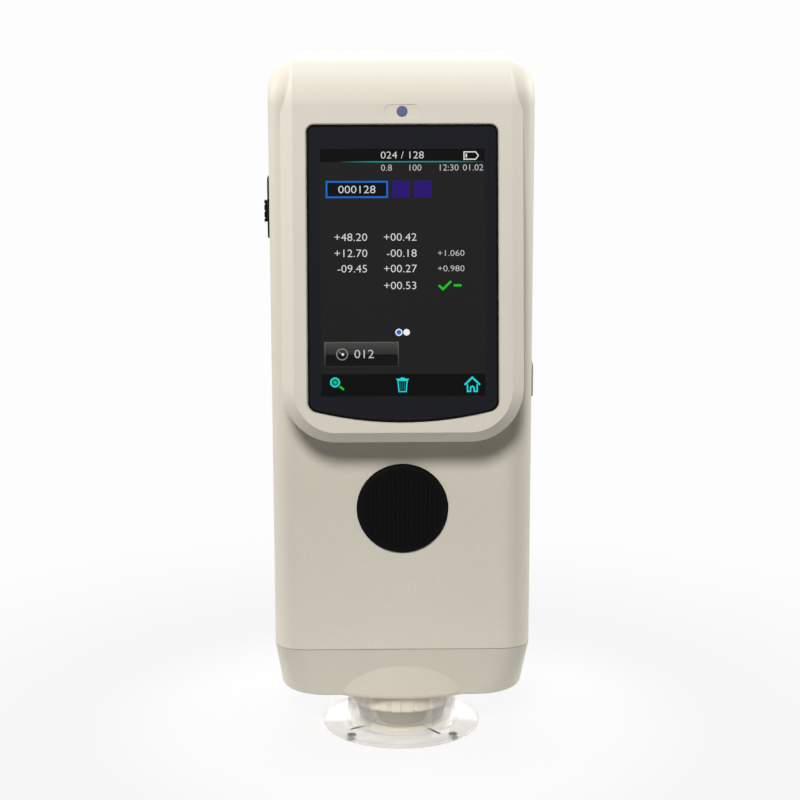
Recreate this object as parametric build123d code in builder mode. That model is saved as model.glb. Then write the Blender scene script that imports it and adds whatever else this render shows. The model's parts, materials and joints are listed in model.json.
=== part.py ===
from build123d import *
import os
from math import cos, radians, sin, sqrt, tan

# A portable spectrophotometer that stands on its measuring nose. Millimetres.
# The origin is the centre of the measuring face, +Z is up and the front looks along -Y.

# Case column
case_width = 80.0
case_front = 24.0
case_back = 44.0
case_corner = 9.0
case_front_top = 13.0
case_back_top = 10.0
wall = 2.6
seam_y = 10.0
seam_gap = 0.3
gasket_inset = 0.35

# Screen head, which leans back and overhangs the column
head_tilt = 10.0
head_y = -34.4
head_z = 152.4
head_brow = 18.7
head_foot = 6.72
head_corner = 16.0
head_top_radius = 15.0
head_chamfer = 3.6
head_reach = 5.0

# Base cover
base_line = 32.5
base_bottom = 14.0
base_side_step = 1.6
base_front_step = 9.0
base_back_step = 6.0
base_foot_corner = 15.0
base_edge = 2.0
bulge_half_width = 20.2
bulge_depth = 5.6
bulge_front = 19.4
bulge_lean = 0.113
bulge_pocket_gap = 0.1

# Display
head_margin = 7.8
glass_width = 56.4
glass_height = 87.7
glass_sag = 3.75
glass_thickness = 1.2
glass_gap = 0.15
glass_top_corner = 2.2
glass_bottom_corner = 3.0
glass_tape = 0.2
glass_rim = 0.35
lcd_side = 0.9
lcd_end = 2.35
lcd_thickness = 3.0
lcd_rise = 0.5
view_side = 1.8
view_end = 3.5
bracket_side = 1.8
bracket_end = 2.5
bracket_rise = 1.5
bracket_corner = 3.0
bracket_thickness = 0.8
bracket_post_gap = 0.2
bracket_post_end = 7.0
bracket_post_radius = 2.2

# Indicator
indicator_rise = 3.95
indicator_radius = 1.55
indicator_flange = 0.8
dimple_length = 10.6
dimple_width = 4.0
dimple_depth = 0.2
indicator_post_x = 5.0

# Measuring button
button_z = 78.0
button_radius = 14.0
button_gap = 0.15
button_proud = 1.7
button_edge = 0.9
button_flange = 1.2
button_flange_thickness = 1.2
rib_pitch = 1.4
rib_width = 0.7
rib_height = 0.5
rib_field = 11.9
guide_gap = 0.2
guide_wall = 2.0
guide_depth = 9.4
guide_screw_reach = 16.0
guide_plate = 2.0
guide_post_radius = 2.2
cap_shell = 2.9
cap_edge = 1.6
cap_stem_radius = 2.2
key_board_thickness = 1.6
tact_size = 6.0
tact_height = 3.2
plunger_radius = 1.7
plunger_length = 2.6
dome_wall = 1.6
dome_foot_radius = 8.0
dome_top_radius = 5.0

# Power switch on the left side
switch_y = -5.0
switch_z = 169.0
switch_length = 19.0
switch_width = 7.0
switch_proud = 0.9
switch_recess = 1.0
knob_length = 6.4
knob_width = 3.4
knob_z = 167.8
knob_proud = 1.0
knob_travel = 3.4
knob_stem = 2.0
knob_groove = 0.35
switch_body_depth = 4.0
switch_body_width = 6.4
switch_body_span = (-8.0, 10.0)
sliding_gap = 0.1

# Port cover on the right side
port_y = -4.0
port_z = 115.6
port_length = 16.0
port_height = 10.8
port_proud = 0.8
port_gap = 0.1
port_axis_depth = 0.4
port_knuckle = 0.7
port_pin_radius = 0.3
port_pin_reach = 1.4
usb_width = 9.0
usb_height = 3.2

# Battery compartment and its door
door_side = 8.0
door_bottom = 114.0
door_hinge_z = 186.4
door_thickness = 2.2
door_knuckle = 1.6
door_gap = 0.15
door_pin_radius = 0.8
door_pin_reach = 1.5
bay_side = 3.0
bay_bottom = 118.0
bay_top = 182.0
bay_floor_y = 29.5
bay_wall = 1.6
battery_side = 0.6
battery_end = 0.5
battery_height = 59.0
battery_thickness = 11.0
magnet_radius = 2.0
magnet_thickness = 1.2
magnet_x = 20.0
magnet_rise = 2.5
door_frame = 3.4
door_corner = 2.0
scoop_radius = 6.2
scoop_depth = 1.6
contact_places = (-16.0, -10.0, -4.0)
contact_width = 3.0
contact_strip = 0.4
contact_reach = 8.0

# Chassis and boards
chassis_y = -3.0
chassis_thickness = 2.0
chassis_side = 5.9
chassis_brow = 12.5
shelf_z = 96.0
shelf_back = 34.0
ear_inset = 2.4
ear_radius = 3.0
ear_boss = 11.0
ear_height = 7.0
ear_end_gap = 0.4
chassis_window = 36.0
chassis_window_z = 158.0
ear_low = 104.0
ear_brow = 16.0
board_side = 0.5
board_corner = 2.0
board_bottom = 108.0
board_brow = 18.0
board_thickness = 1.6
standoff_length = 4.0
standoff_radius = 2.5
standoff_inset = 5.0
standoff_low = 124.0

cable_width = 18.0
cable_thickness = 0.3
cable_socket_z = 114.0
cable_socket_reach = 1.1
buzzer_inset = 11.0
buzzer_z = 132.0
buzzer_radius = 6.0
buzzer_height = 4.5
buzzer_port_radius = 1.0

# Screws
screw_clearance = 0.05
screw_pass = 0.2
case_screw_inset = 7.4
case_screw_low = 40.0
case_screw_brow = 8.0
case_screw_radius = 1.5
case_screw_head = 2.7
case_screw_seat_y = 16.0
boss_radius = 3.4
base_screw_side = 12.0
base_screw_front = 20.0
base_screw_back = 16.0
base_screw_seat = 8.0
boss_web = 2.0
base_boss_top = 44.0
small_screw_radius = 1.0
small_screw_head = 1.9
small_screw_cap = 1.2
case_screw_cap = 2.2
cross_length = 3.2
cross_width = 0.6
cross_depth = 2.0

# Optics
sphere_z = 24.5
sphere_radius = 15.0
sphere_wall = 2.0
sphere_flange = 0.9
port_tube_radius = 4.6
port_tube_wall = 1.6
seat_gap = 0.05
view_angle = 8.0
view_tube_radius = 5.0
view_tube_wall = 1.2
lamp_tube_radius = 4.0
lamp_tube_wall = 1.4
lamp_z = 31.0
lamp_board_size = 20.0
lens_radius = 4.9
lens_distance = 50.0
spectro_side = 10.4
spectro_front = 8.0
spectro_back = 31.0
spectro_bottom = 62.0
spectro_wall = 2.0
spectro_cover = 2.0
shelf_thickness = 2.0
spectro_screw_inset = 5.0
spectro_screw_front = 7.0
spectro_screw_back = 2.0
spectro_boss_radius = 2.4
sensor_board_rows = (7.0, 26.0)
sensor_rows = (9.0, 24.0)
sensor_board_height = 20.0
sensor_board_thickness = 1.6
sensor_thickness = 1.8
sensor_levels = (9.0, 13.0)
grating_radius = 9.0
grating_thickness = 5.0
grating_curve = 40.0
grating_dish = 2.0
slit_radius = 4.4
slit_width = 1.2
slit_length = 5.0
slit_thickness = 0.5

# Nose and locating plate
aperture_radius = 4.0
mask_top = 2.6
mask_lip = 1.0
mask_radius = 13.8
mask_boss_radius = 11.85
nose_taper_top = 8.6
nose_taper_radius = 15.3
nose_foot_radius = 13.3
nose_neck_radius = 14.0
nose_bore = 12.6
nose_collar_radius = 16.3
nose_collar_z = 12.4
nose_flange_step = 1.5
nose_collar_step = 0.3
nose_flange = 2.0
lock_ring_radius = 15.8
flute_count = 24
flute_radius = 0.75
plate_radius = 25.4
plate_thickness = 1.5
plate_hole_radius = 12.0
plate_wall_inner = 16.38
plate_wall = 1.2
plate_wall_top = 13.6
plate_fillet = 1.0
pad_ring_radius = 22.9
pad_radius = 1.4

tilt = radians(head_tilt)
case_top = head_z + (glass_height / 2 + head_brow) * cos(tilt)
head_bottom = head_z - (glass_height / 2 + head_foot) * cos(tilt)
half_width = case_width / 2
inner_half = half_width - wall
head_width = glass_width + 2 * head_margin
lcd_width = glass_width - 2 * lcd_side
lcd_height = glass_height - 2 * lcd_end
view_width = lcd_width - 2 * view_side
view_height = lcd_height - 2 * view_end
bracket_height = lcd_height - 2 * bracket_end
bracket_post_x = lcd_width / 2 + bracket_post_gap + bracket_post_radius
bracket_post_v = bracket_height / 2 - bracket_post_end
bracket_width = 2 * (bracket_post_x + bracket_side)
indicator_v = glass_height / 2 + indicator_rise
door_width = case_width - 2 * door_side
bay_width = door_width - 2 * bay_side
battery_width = bay_width - 2 * battery_side
chassis_width = 2 * (inner_half - chassis_side)
board_width = chassis_width - 2 * board_side
board_top = case_top - board_brow
chassis_top = case_top - chassis_brow
standoff_x = board_width / 2 - standoff_inset
standoff_heights = (standoff_low, board_top - standoff_inset)
ear_heights = (ear_low, case_top - ear_brow)
case_screw_heights = (case_screw_low, case_top - case_screw_brow)
buzzer_place = (buzzer_inset - board_width / 2, buzzer_z)
ear_x = inner_half - ear_inset
case_screw_x = inner_half - case_screw_inset
spectro_width = 2 * (inner_half - spectro_side)
spectro_screw_x = spectro_width / 2 - spectro_screw_inset
spectro_screw_rows = (chassis_y + spectro_screw_front, spectro_back - spectro_screw_back)
inner_front = wall - case_front
inner_back = case_back - wall
front_seam = seam_y - seam_gap / 2
rear_seam = seam_y + seam_gap / 2
case_floor = base_line + seam_gap / 2
head_face = Plane(
    origin=(0, head_y, head_z), x_dir=(1, 0, 0), z_dir=(0, -cos(tilt), sin(tilt))
)
sphere_outer = sphere_radius + sphere_wall
base_screw_rows = (base_screw_front - case_front, case_back - base_screw_back)
base_screw_places = [
    (side * (half_width - base_screw_side), row) for row in base_screw_rows for side in (-1, 1)
]


def save(piece, name):
    piece.part.label = name
    export_step(piece.part, f"parts/{name}.step")


def span_box(x, y, z, mode=Mode.ADD):
    middle = ((x[0] + x[1]) / 2, (y[0] + y[1]) / 2, (z[0] + z[1]) / 2)
    with Locations(middle):
        Box(x[1] - x[0], y[1] - y[0], z[1] - z[0], mode=mode)


def x_rod(y, z, radius, x, mode=Mode.ADD):
    with Locations(Location(((x[0] + x[1]) / 2, y, z), (0, 90, 0))):
        Cylinder(radius, x[1] - x[0], mode=mode)


def y_rod(x, z, radius, y, mode=Mode.ADD):
    with Locations(Location((x, (y[0] + y[1]) / 2, z), (90, 0, 0))):
        Cylinder(radius, y[1] - y[0], mode=mode)


def z_rod(x, y, radius, z, mode=Mode.ADD):
    with Locations((x, y, (z[0] + z[1]) / 2)):
        Cylinder(radius, z[1] - z[0], mode=mode)


def turned(points, mode=Mode.ADD):
    with BuildSketch(Plane.XZ) as section:
        with BuildLine():
            Polyline(*points, close=True)
        make_face()
    revolve(section.sketch, axis=Axis.Z, mode=mode)


def head_slab(width, height, rise, depth, thickness, mode=Mode.ADD, corner=0.0):
    with BuildSketch(head_face.offset(-depth)) as outline:
        with Locations((0, rise)):
            if corner:
                RectangleRounded(width, height, corner)
            else:
                Rectangle(width, height)
    extrude(outline.sketch, amount=-thickness, mode=mode)


def head_post(x, v, radius, depth, length, mode=Mode.ADD):
    with BuildSketch(head_face.offset(-depth)) as outline:
        with Locations((x, v)):
            Circle(radius)
    extrude(outline.sketch, amount=-length, mode=mode)


def front_y(z, depth=0.0):
    return head_y + (z - head_z) * tan(tilt) + depth / cos(tilt)


# The column: a side profile drawn out sideways, with one radius round its outline.
def column_form(inset, bottom):
    front = inset - case_front
    back = case_back - inset
    top = case_top - inset
    with BuildPart() as form:
        with BuildSketch(Plane.YZ) as side:
            with BuildLine():
                Polyline((front, bottom), (back, bottom), (back, top), (front, top), close=True)
            make_face()
            upper = side.vertices().group_by(Axis.Y)[-1].sort_by(Axis.X)
            fillet(upper[0], case_front_top - inset)
            upper = side.vertices().sort_by(Axis.X)[-2:].sort_by(Axis.Y)
            fillet(upper[-1], case_back_top - inset)
        extrude(amount=half_width - inset, both=True)
        sides = form.edges().group_by(Axis.X)
        outline = (sides[0] + sides[-1]).filter_by(lambda e: e.center().Z > bottom + 1)
        fillet(outline, case_corner - inset)
    return form.part


# The head: a leaning block with rounded lower corners and a chamfer round its face.
def head_form(inset):
    bottom = head_bottom + inset
    top = case_top - inset
    with BuildPart() as form:
        with BuildSketch(Plane.YZ) as side:
            with BuildLine():
                Polyline(
                    (front_y(bottom, inset), bottom),
                    (head_reach, bottom),
                    (head_reach, top),
                    (front_y(top, inset), top),
                    close=True,
                )
            make_face()
            brow = side.vertices().group_by(Axis.Y)[-1].sort_by(Axis.X)[0]
            fillet(brow, head_top_radius - inset)
        extrude(amount=head_width / 2 - inset, both=True)
        keel = form.faces().sort_by(Axis.Z)[0].edges().filter_by(Axis.Y)
        fillet(keel, head_corner - inset)
        face = form.faces().filter_by(lambda f: abs(f.normal_at().Y + cos(tilt)) < 1e-3)[0]
        rim = face.edges().sort_by(Axis.Z)[:-1]
        chamfer(rim, head_chamfer)
    return form.part


def glass_outline(grow):
    half = glass_width / 2 + grow
    top = glass_height / 2 + grow
    corner_v = glass_sag - top
    with BuildSketch() as outline:
        with BuildLine():
            Polyline((-half, corner_v), (-half, top), (half, top), (half, corner_v))
            ThreePointArc((half, corner_v), (0, -top), (-half, corner_v))
        make_face()
        fillet(outline.vertices().group_by(Axis.Y)[-1], glass_top_corner + grow)
        fillet(outline.vertices().group_by(Axis.Y)[0], glass_bottom_corner + grow)
    return outline.sketch


# The base cover's outer or inner form: a tapered skirt joined to a cone round the nose.
def skirt_form(inset, bottom, top):
    share = (base_line - bottom) / (base_line - base_bottom)
    with BuildPart() as form:
        for z, part_way in ((top, 0.0), (bottom, share)):
            width = case_width - 2 * base_side_step * part_way - 2 * inset
            front = case_front - base_front_step * part_way - inset
            back = case_back - base_back_step * part_way - inset
            corner = case_corner + (base_foot_corner - case_corner) * part_way - inset
            with BuildSketch(Plane.XY.offset(z)):
                with Locations((0, (back - front) / 2)):
                    RectangleRounded(width, front + back, corner)
        loft(ruled=True)
    return form.part


def bulge_form():
    with BuildPart() as form:
        with BuildSketch(Plane.XY.offset(base_bottom)):
            with Locations((0, bulge_depth - bulge_front)):
                Ellipse(bulge_half_width, bulge_depth)
        extrude(amount=base_line - base_bottom, dir=(0, -bulge_lean, 1))
    return form.part


os.makedirs("parts", exist_ok=True)

case_outer = column_form(0.0, case_floor) + head_form(0.0)
case_inner = column_form(wall, case_floor) + head_form(wall)
case_middle = column_form(wall / 2, case_floor) + head_form(wall / 2)

# Places shared by several pieces
board_front = chassis_y - standoff_length - board_thickness
board_back = chassis_y - standoff_length
bracket_depth = wall + lcd_thickness
button_front = -case_front - button_proud
guide_inner = button_radius + button_flange + guide_gap
guide_back = inner_front + guide_depth
flange_front = inner_front + sliding_gap
flange_back = flange_front + button_flange_thickness
plunger_front = guide_back - tact_height - 1.0
cap_inner = button_front + cap_shell
switch_floor = half_width - switch_recess
knob_slot = (knob_z - knob_length / 2 - sliding_gap, knob_z + knob_length / 2 + knob_travel + sliding_gap)
stem_slot = (knob_z - knob_stem / 2 - sliding_gap, knob_z + knob_stem / 2 + knob_travel + sliding_gap)
port_outer = half_width + port_proud
port_inner = half_width - port_axis_depth - port_knuckle
port_axis = (half_width - port_axis_depth, port_y + port_length / 2 - port_knuckle)
port_swing = port_axis_depth + port_proud
port_span = (port_z - port_height / 2, port_z + port_height / 2)
door_axis_y = case_back - door_knuckle
door_inner = case_back - door_thickness
door_top = door_hinge_z + door_knuckle
door_rest = door_inner - 0.1
magnet_places = [(side * magnet_x, door_bottom + magnet_rise) for side in (-1, 1)]
plate_y = (chassis_y, chassis_y + chassis_thickness)
spectro_top = shelf_z - spectro_cover

# Bosses and posts of the front housing, which end inside its wall
with BuildPart() as front_bosses:
    for side in (-1, 1):
        for z in case_screw_heights:
            y_rod(side * case_screw_x, z, boss_radius, (-case_front, front_seam))
        for z in ear_heights:
            y_rod(side * ear_x, z, ear_radius, (chassis_y - ear_boss, chassis_y))
        for v in (-bracket_post_v, bracket_post_v):
            head_post(side * bracket_post_x, v + bracket_rise, bracket_post_radius, 0, bracket_depth)
        for z in (button_z - guide_screw_reach, button_z + guide_screw_reach):
            y_rod(side * guide_screw_reach, z, guide_post_radius, (-case_front, guide_back - guide_plate))
        head_post(side * indicator_post_x, indicator_v, 1.2, 0, wall + 2.2)
    for x, y in base_screw_places[:2]:
        z_rod(x, y, boss_radius, (case_floor, base_boss_top))
        span_box(sorted((x, x / abs(x) * half_width)), (y - boss_web / 2, y + boss_web / 2),
                 (case_floor, base_boss_top))
    add(case_middle, mode=Mode.INTERSECT)

with BuildPart() as front_housing:
    add(case_outer)
    add(case_inner, mode=Mode.SUBTRACT)
    split(bisect_by=Plane.XZ.offset(-front_seam), keep=Keep.TOP)
    add(front_bosses.part)
    # Glass pocket, its bright edge, and the opening for the display
    with BuildSketch(head_face):
        add(glass_outline(glass_gap))
    extrude(amount=-(glass_thickness + glass_tape), mode=Mode.SUBTRACT)
    with BuildSketch(head_face.offset(-glass_rim)):
        add(glass_outline(glass_gap))
    with BuildSketch(head_face):
        add(glass_outline(glass_gap + glass_rim))
    loft(mode=Mode.SUBTRACT)
    head_slab(view_width, view_height, lcd_rise, 0, 2 * wall, Mode.SUBTRACT, 1.0)
    for side in (-1, 1):
        for v in (-bracket_post_v, bracket_post_v):
            x = side * bracket_post_x
            head_post(x, v + bracket_rise, small_screw_radius + screw_clearance, wall, lcd_thickness,
                      Mode.SUBTRACT)
    # Indicator window in its shallow dimple
    with BuildSketch(head_face):
        with Locations((0, indicator_v)):
            SlotOverall(dimple_length, dimple_width)
    extrude(amount=-dimple_depth, mode=Mode.SUBTRACT)
    head_post(0, indicator_v, indicator_radius + screw_clearance, 0, 2 * wall, Mode.SUBTRACT)
    # Button hole
    y_rod(0, button_z, button_radius + button_gap, (-case_front - 1, inner_front + 1), Mode.SUBTRACT)
    # Power switch seat and slot
    span_box(
        (-half_width - 1, -switch_floor),
        (switch_y - switch_width / 2, switch_y + switch_width / 2),
        (switch_z - switch_length / 2, switch_z + switch_length / 2),
        Mode.SUBTRACT,
    )
    span_box(
        (-half_width, -inner_half + 1),
        (switch_y - knob_stem / 2 - sliding_gap, switch_y + knob_stem / 2 + sliding_gap),
        stem_slot,
        Mode.SUBTRACT,
    )
    # Port recess, the swing of its cover, its opening and the hinge pin's holes
    port_hole = (port_span[0] - port_gap, port_span[1] + port_gap)
    span_box((port_inner - port_gap, half_width + 1), (port_y - port_length / 2 - port_gap, port_axis[1]),
             port_hole, Mode.SUBTRACT)
    z_rod(*port_axis, port_swing + port_gap, port_hole, Mode.SUBTRACT)
    span_box(
        (inner_half - 1, half_width),
        (board_back - 0.2, board_back + usb_height + 0.2),
        (port_z - usb_width / 2 - 0.3, port_z + usb_width / 2 + 0.3),
        Mode.SUBTRACT,
    )
    pin_span = (port_span[0] - port_pin_reach, port_span[1] + port_pin_reach)
    z_rod(*port_axis, port_pin_radius + 0.02, (pin_span[0] - 0.1, pin_span[1] + 0.1), Mode.SUBTRACT)
    # Screw holes
    for side in (-1, 1):
        for z in case_screw_heights:
            x = side * case_screw_x
            y_rod(x, z, case_screw_radius + screw_clearance, (case_screw_seat_y - 15, front_seam),
                  Mode.SUBTRACT)
        for z in ear_heights:
            x = side * ear_x
            y_rod(x, z, small_screw_radius + screw_clearance, (chassis_y - 7, chassis_y), Mode.SUBTRACT)
        for z in (button_z - guide_screw_reach, button_z + guide_screw_reach):
            x = side * guide_screw_reach
            y_rod(x, z, small_screw_radius + screw_clearance, (guide_back - 8, guide_back - guide_plate),
                  Mode.SUBTRACT)
    for x, y in base_screw_places[:2]:
        z_rod(x, y, case_screw_radius + screw_clearance, (case_floor, base_boss_top - 1), Mode.SUBTRACT)
save(front_housing, "front_housing")

with BuildPart() as rear_bosses:
    for side in (-1, 1):
        for z in case_screw_heights:
            y_rod(side * case_screw_x, z, boss_radius, (rear_seam, case_back))
    for x, y in base_screw_places[2:]:
        z_rod(x, y, boss_radius, (case_floor, base_boss_top))
        span_box(sorted((x, x / abs(x) * half_width)), (y - boss_web / 2, y + boss_web / 2),
                 (case_floor, base_boss_top))
    add(case_middle, mode=Mode.INTERSECT)

with BuildPart() as rear_housing:
    add(case_outer)
    add(case_inner, mode=Mode.SUBTRACT)
    split(bisect_by=Plane.XZ.offset(-rear_seam), keep=Keep.BOTTOM)
    add(rear_bosses.part)
    # Battery bay with the frame that the door closes on
    frame_half = door_width / 2 + door_frame
    span_box((-frame_half, frame_half), (door_inner - door_frame, inner_back + 0.5),
             (door_bottom - 3, door_top + 2.4))
    span_box((-bay_width / 2 - bay_wall, bay_width / 2 + bay_wall), (bay_floor_y - bay_wall, inner_back),
             (bay_bottom - bay_wall, bay_top + bay_wall))
    span_box((-bay_width / 2, bay_width / 2), (bay_floor_y, case_back), (bay_bottom, bay_top),
             Mode.SUBTRACT)
    span_box((-door_width / 2 - door_gap, door_width / 2 + door_gap), (door_rest, case_back + 1),
             (door_bottom - door_gap, door_top + door_gap), Mode.SUBTRACT)
    x_rod(door_axis_y, door_hinge_z, door_knuckle + door_gap,
          (-door_width / 2 - door_gap, door_width / 2 + door_gap), Mode.SUBTRACT)
    pin_half = door_width / 2 + door_pin_reach
    x_rod(door_axis_y, door_hinge_z, door_pin_radius + screw_clearance,
          (-pin_half - 0.1, pin_half + 0.1), Mode.SUBTRACT)
    for x, z in magnet_places:
        magnet_seat = (door_rest - magnet_thickness, door_rest)
        y_rod(x, z, magnet_radius + screw_clearance, magnet_seat, Mode.SUBTRACT)
    # Screw columns
    for side in (-1, 1):
        for z in case_screw_heights:
            x = side * case_screw_x
            y_rod(x, z, case_screw_radius + screw_pass, (rear_seam, case_screw_seat_y + 1), Mode.SUBTRACT)
            y_rod(x, z, case_screw_head + screw_pass, (case_screw_seat_y, case_back + 1), Mode.SUBTRACT)
    for x, y in base_screw_places[2:]:
        z_rod(x, y, case_screw_radius + screw_clearance, (case_floor, base_boss_top - 1), Mode.SUBTRACT)
save(rear_housing, "rear_housing")

with BuildPart() as seam_gasket:
    add(column_form(gasket_inset, case_floor + gasket_inset))
    add(column_form(wall, case_floor), mode=Mode.SUBTRACT)
    split(bisect_by=Plane.XZ.offset(-front_seam), keep=Keep.BOTTOM)
    split(bisect_by=Plane.XZ.offset(-rear_seam), keep=Keep.TOP)
save(seam_gasket, "seam_gasket")

with BuildPart() as base_cover:
    add(skirt_form(0.0, base_bottom, base_line))
    add(bulge_form())
    fillet(base_cover.faces().sort_by(Axis.Z)[0].edges(), base_edge)
    add(skirt_form(wall, base_bottom + wall, base_line), mode=Mode.SUBTRACT)
    pocket_radius = nose_collar_radius + nose_flange_step + bulge_pocket_gap
    z_rod(0, 0, pocket_radius, (base_bottom + wall, base_line), Mode.SUBTRACT)
    span_box((-half_width, half_width), (-case_front - 1, case_back + 1),
             (base_line - seam_gap / 2, base_line + 1), Mode.SUBTRACT)
    collar_hole = nose_collar_radius - nose_collar_step + sliding_gap
    z_rod(0, 0, collar_hole, (base_bottom - 1, base_line), Mode.SUBTRACT)
    for x, y in base_screw_places:
        z_rod(x, y, boss_radius, (base_bottom + wall - 0.5, base_line - seam_gap / 2))
        z_rod(x, y, case_screw_radius + screw_pass, (base_bottom, base_line), Mode.SUBTRACT)
        z_rod(x, y, case_screw_head + screw_pass, (base_bottom - 1, base_bottom + base_screw_seat),
              Mode.SUBTRACT)
save(base_cover, "base_cover")

with BuildPart() as base_gasket:
    with BuildSketch(Plane.XY.offset(base_line - seam_gap / 2)):
        with Locations((0, (case_back - case_front) / 2)):
            RectangleRounded(case_width - 2 * gasket_inset, case_front + case_back - 2 * gasket_inset,
                             case_corner - gasket_inset)
            RectangleRounded(case_width - 2 * wall, case_front + case_back - 2 * wall,
                             case_corner - wall, mode=Mode.SUBTRACT)
    extrude(amount=seam_gap)
save(base_gasket, "base_gasket")

with BuildPart() as display_glass:
    with BuildSketch(head_face):
        add(glass_outline(0))
    extrude(amount=-glass_thickness)
save(display_glass, "display_glass")

with BuildPart() as glass_adhesive:
    with BuildSketch(head_face.offset(-glass_thickness)):
        add(glass_outline(-0.4))
        with Locations((0, lcd_rise)):
            RectangleRounded(view_width + 1, view_height + 1, 1.0, mode=Mode.SUBTRACT)
    extrude(amount=-glass_tape)
save(glass_adhesive, "glass_adhesive")

with BuildPart() as lcd_module:
    head_slab(lcd_width, lcd_height, lcd_rise, wall, lcd_thickness, corner=1.5)
save(lcd_module, "lcd_module")

with BuildPart() as lcd_bracket:
    head_slab(bracket_width, bracket_height, bracket_rise, bracket_depth, bracket_thickness,
              corner=bracket_corner)
    for side in (-1, 1):
        for v in (-bracket_post_v, bracket_post_v):
            head_post(side * bracket_post_x, v + bracket_rise, small_screw_radius + screw_pass,
                      bracket_depth, bracket_thickness, Mode.SUBTRACT)
    head_slab(22, 30, lcd_rise + 12, bracket_depth, bracket_thickness, Mode.SUBTRACT, 2.0)
save(lcd_bracket, "lcd_bracket")

with BuildPart() as bracket_screws:
    head = bracket_depth + bracket_thickness
    for side in (-1, 1):
        for v in (-bracket_post_v, bracket_post_v):
            x = side * bracket_post_x
            head_post(x, v + bracket_rise, small_screw_head, head, 1.0)
            head_post(x, v + bracket_rise, small_screw_radius, wall + 0.2, head - wall - 0.2)
save(bracket_screws, "bracket_screws")

with BuildPart() as indicator_lens:
    head_post(0, indicator_v, indicator_radius, dimple_depth - 0.15, wall - dimple_depth + 0.15)
    head_post(0, indicator_v, indicator_radius + indicator_flange, wall, 0.8)
    fillet(indicator_lens.edges().sort_by(Axis.Y)[0], 0.15)
save(indicator_lens, "indicator_lens")

with BuildPart() as indicator_board:
    head_slab(14, 5, indicator_v, wall + 2.2, 1.0, corner=0.5)
    head_slab(2.2, 1.6, indicator_v, wall + 0.8, 1.4)
save(indicator_board, "indicator_board")

# The button cap: a domed-edge disc with upright ribs inside a smooth rim
with BuildPart() as measure_button:
    y_rod(0, button_z, button_radius, (button_front + rib_height, flange_back))
    fillet(measure_button.edges().sort_by(Axis.Y)[0], button_edge)
    y_rod(0, button_z, button_radius + button_flange, (flange_front, flange_back))
    with BuildSketch(Plane.XZ.offset(-button_front)) as ribs:
        count = 2 * int(rib_field / rib_pitch) + 1
        with Locations((0, button_z)):
            with GridLocations(rib_pitch, 0, count, 1):
                Rectangle(rib_width, 4 * rib_field)
            Circle(rib_field, mode=Mode.INTERSECT)
    extrude(amount=-(rib_height + 0.4))
    y_rod(0, button_z, button_radius - cap_edge, (cap_inner, flange_back), Mode.SUBTRACT)
    y_rod(0, button_z, cap_stem_radius, (-case_front, plunger_front))
save(measure_button, "measure_button")

with BuildPart() as button_guide:
    y_rod(0, button_z, guide_inner + guide_wall, (inner_front, guide_back))
    with Locations((0, guide_back - guide_plate / 2, button_z)):
        Box(2 * guide_screw_reach + 6, guide_plate, 2 * guide_screw_reach + 6)
    y_rod(0, button_z, guide_inner, (inner_front, guide_back - guide_plate), Mode.SUBTRACT)
    y_rod(0, button_z, dome_foot_radius + 1, (guide_back - guide_plate, guide_back), Mode.SUBTRACT)
    for side in (-1, 1):
        for z in (button_z - guide_screw_reach, button_z + guide_screw_reach):
            x = side * guide_screw_reach
            y_rod(x, z, small_screw_radius + screw_pass, (guide_back - guide_plate, guide_back),
                  Mode.SUBTRACT)
            y_rod(x, z, guide_post_radius + screw_clearance, (inner_front, guide_back - guide_plate),
                  Mode.SUBTRACT)
save(button_guide, "button_guide")

with BuildPart() as key_board:
    span_box((-12, 12), (guide_back, guide_back + key_board_thickness), (button_z - 12, button_z + 12))
save(key_board, "key_board")

with BuildPart() as tact_switch:
    half = tact_size / 2
    span_box((-half, half), (guide_back - tact_height, guide_back), (button_z - half, button_z + half))
    plunger_hole = (guide_back - tact_height, guide_back - 0.4)
    y_rod(0, button_z, plunger_radius + sliding_gap, plunger_hole, Mode.SUBTRACT)
save(tact_switch, "tact_switch")

with BuildPart() as tact_plunger:
    y_rod(0, button_z, plunger_radius, (plunger_front, plunger_front + plunger_length))
save(tact_plunger, "tact_plunger")

# A silicone dome returns the button
with BuildPart() as button_return_dome:
    with BuildSketch(Plane.YZ):
        with BuildLine():
            Polyline(
                (guide_back, button_z + dome_foot_radius),
                (cap_inner, button_z + dome_top_radius),
                (cap_inner, button_z + dome_top_radius - dome_wall),
                (guide_back, button_z + dome_foot_radius - dome_wall),
                close=True,
            )
        make_face()
    revolve(axis=Axis((0, 0, button_z), (0, 1, 0)))
save(button_return_dome, "button_return_dome")

with BuildPart() as guide_screws:
    for side in (-1, 1):
        for z in (button_z - guide_screw_reach, button_z + guide_screw_reach):
            y_rod(side * guide_screw_reach, z, small_screw_head, (guide_back, guide_back + small_screw_cap))
            y_rod(side * guide_screw_reach, z, small_screw_radius, (guide_back - 7, guide_back))
save(guide_screws, "guide_screws")

with BuildPart() as power_switch_bezel:
    span_box(
        (-half_width - switch_proud, -switch_floor),
        (switch_y - switch_width / 2 + 0.05, switch_y + switch_width / 2 - 0.05),
        (switch_z - switch_length / 2 + 0.05, switch_z + switch_length / 2 - 0.05),
    )
    fillet(power_switch_bezel.edges().filter_by(Axis.X), 1.5)
    fillet(power_switch_bezel.faces().sort_by(Axis.X)[0].edges(), 0.5)
    span_box(
        (-half_width - 2, -switch_floor),
        (switch_y - knob_width / 2 - sliding_gap, switch_y + knob_width / 2 + sliding_gap),
        knob_slot,
        Mode.SUBTRACT,
    )
save(power_switch_bezel, "power_switch_bezel")

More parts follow.
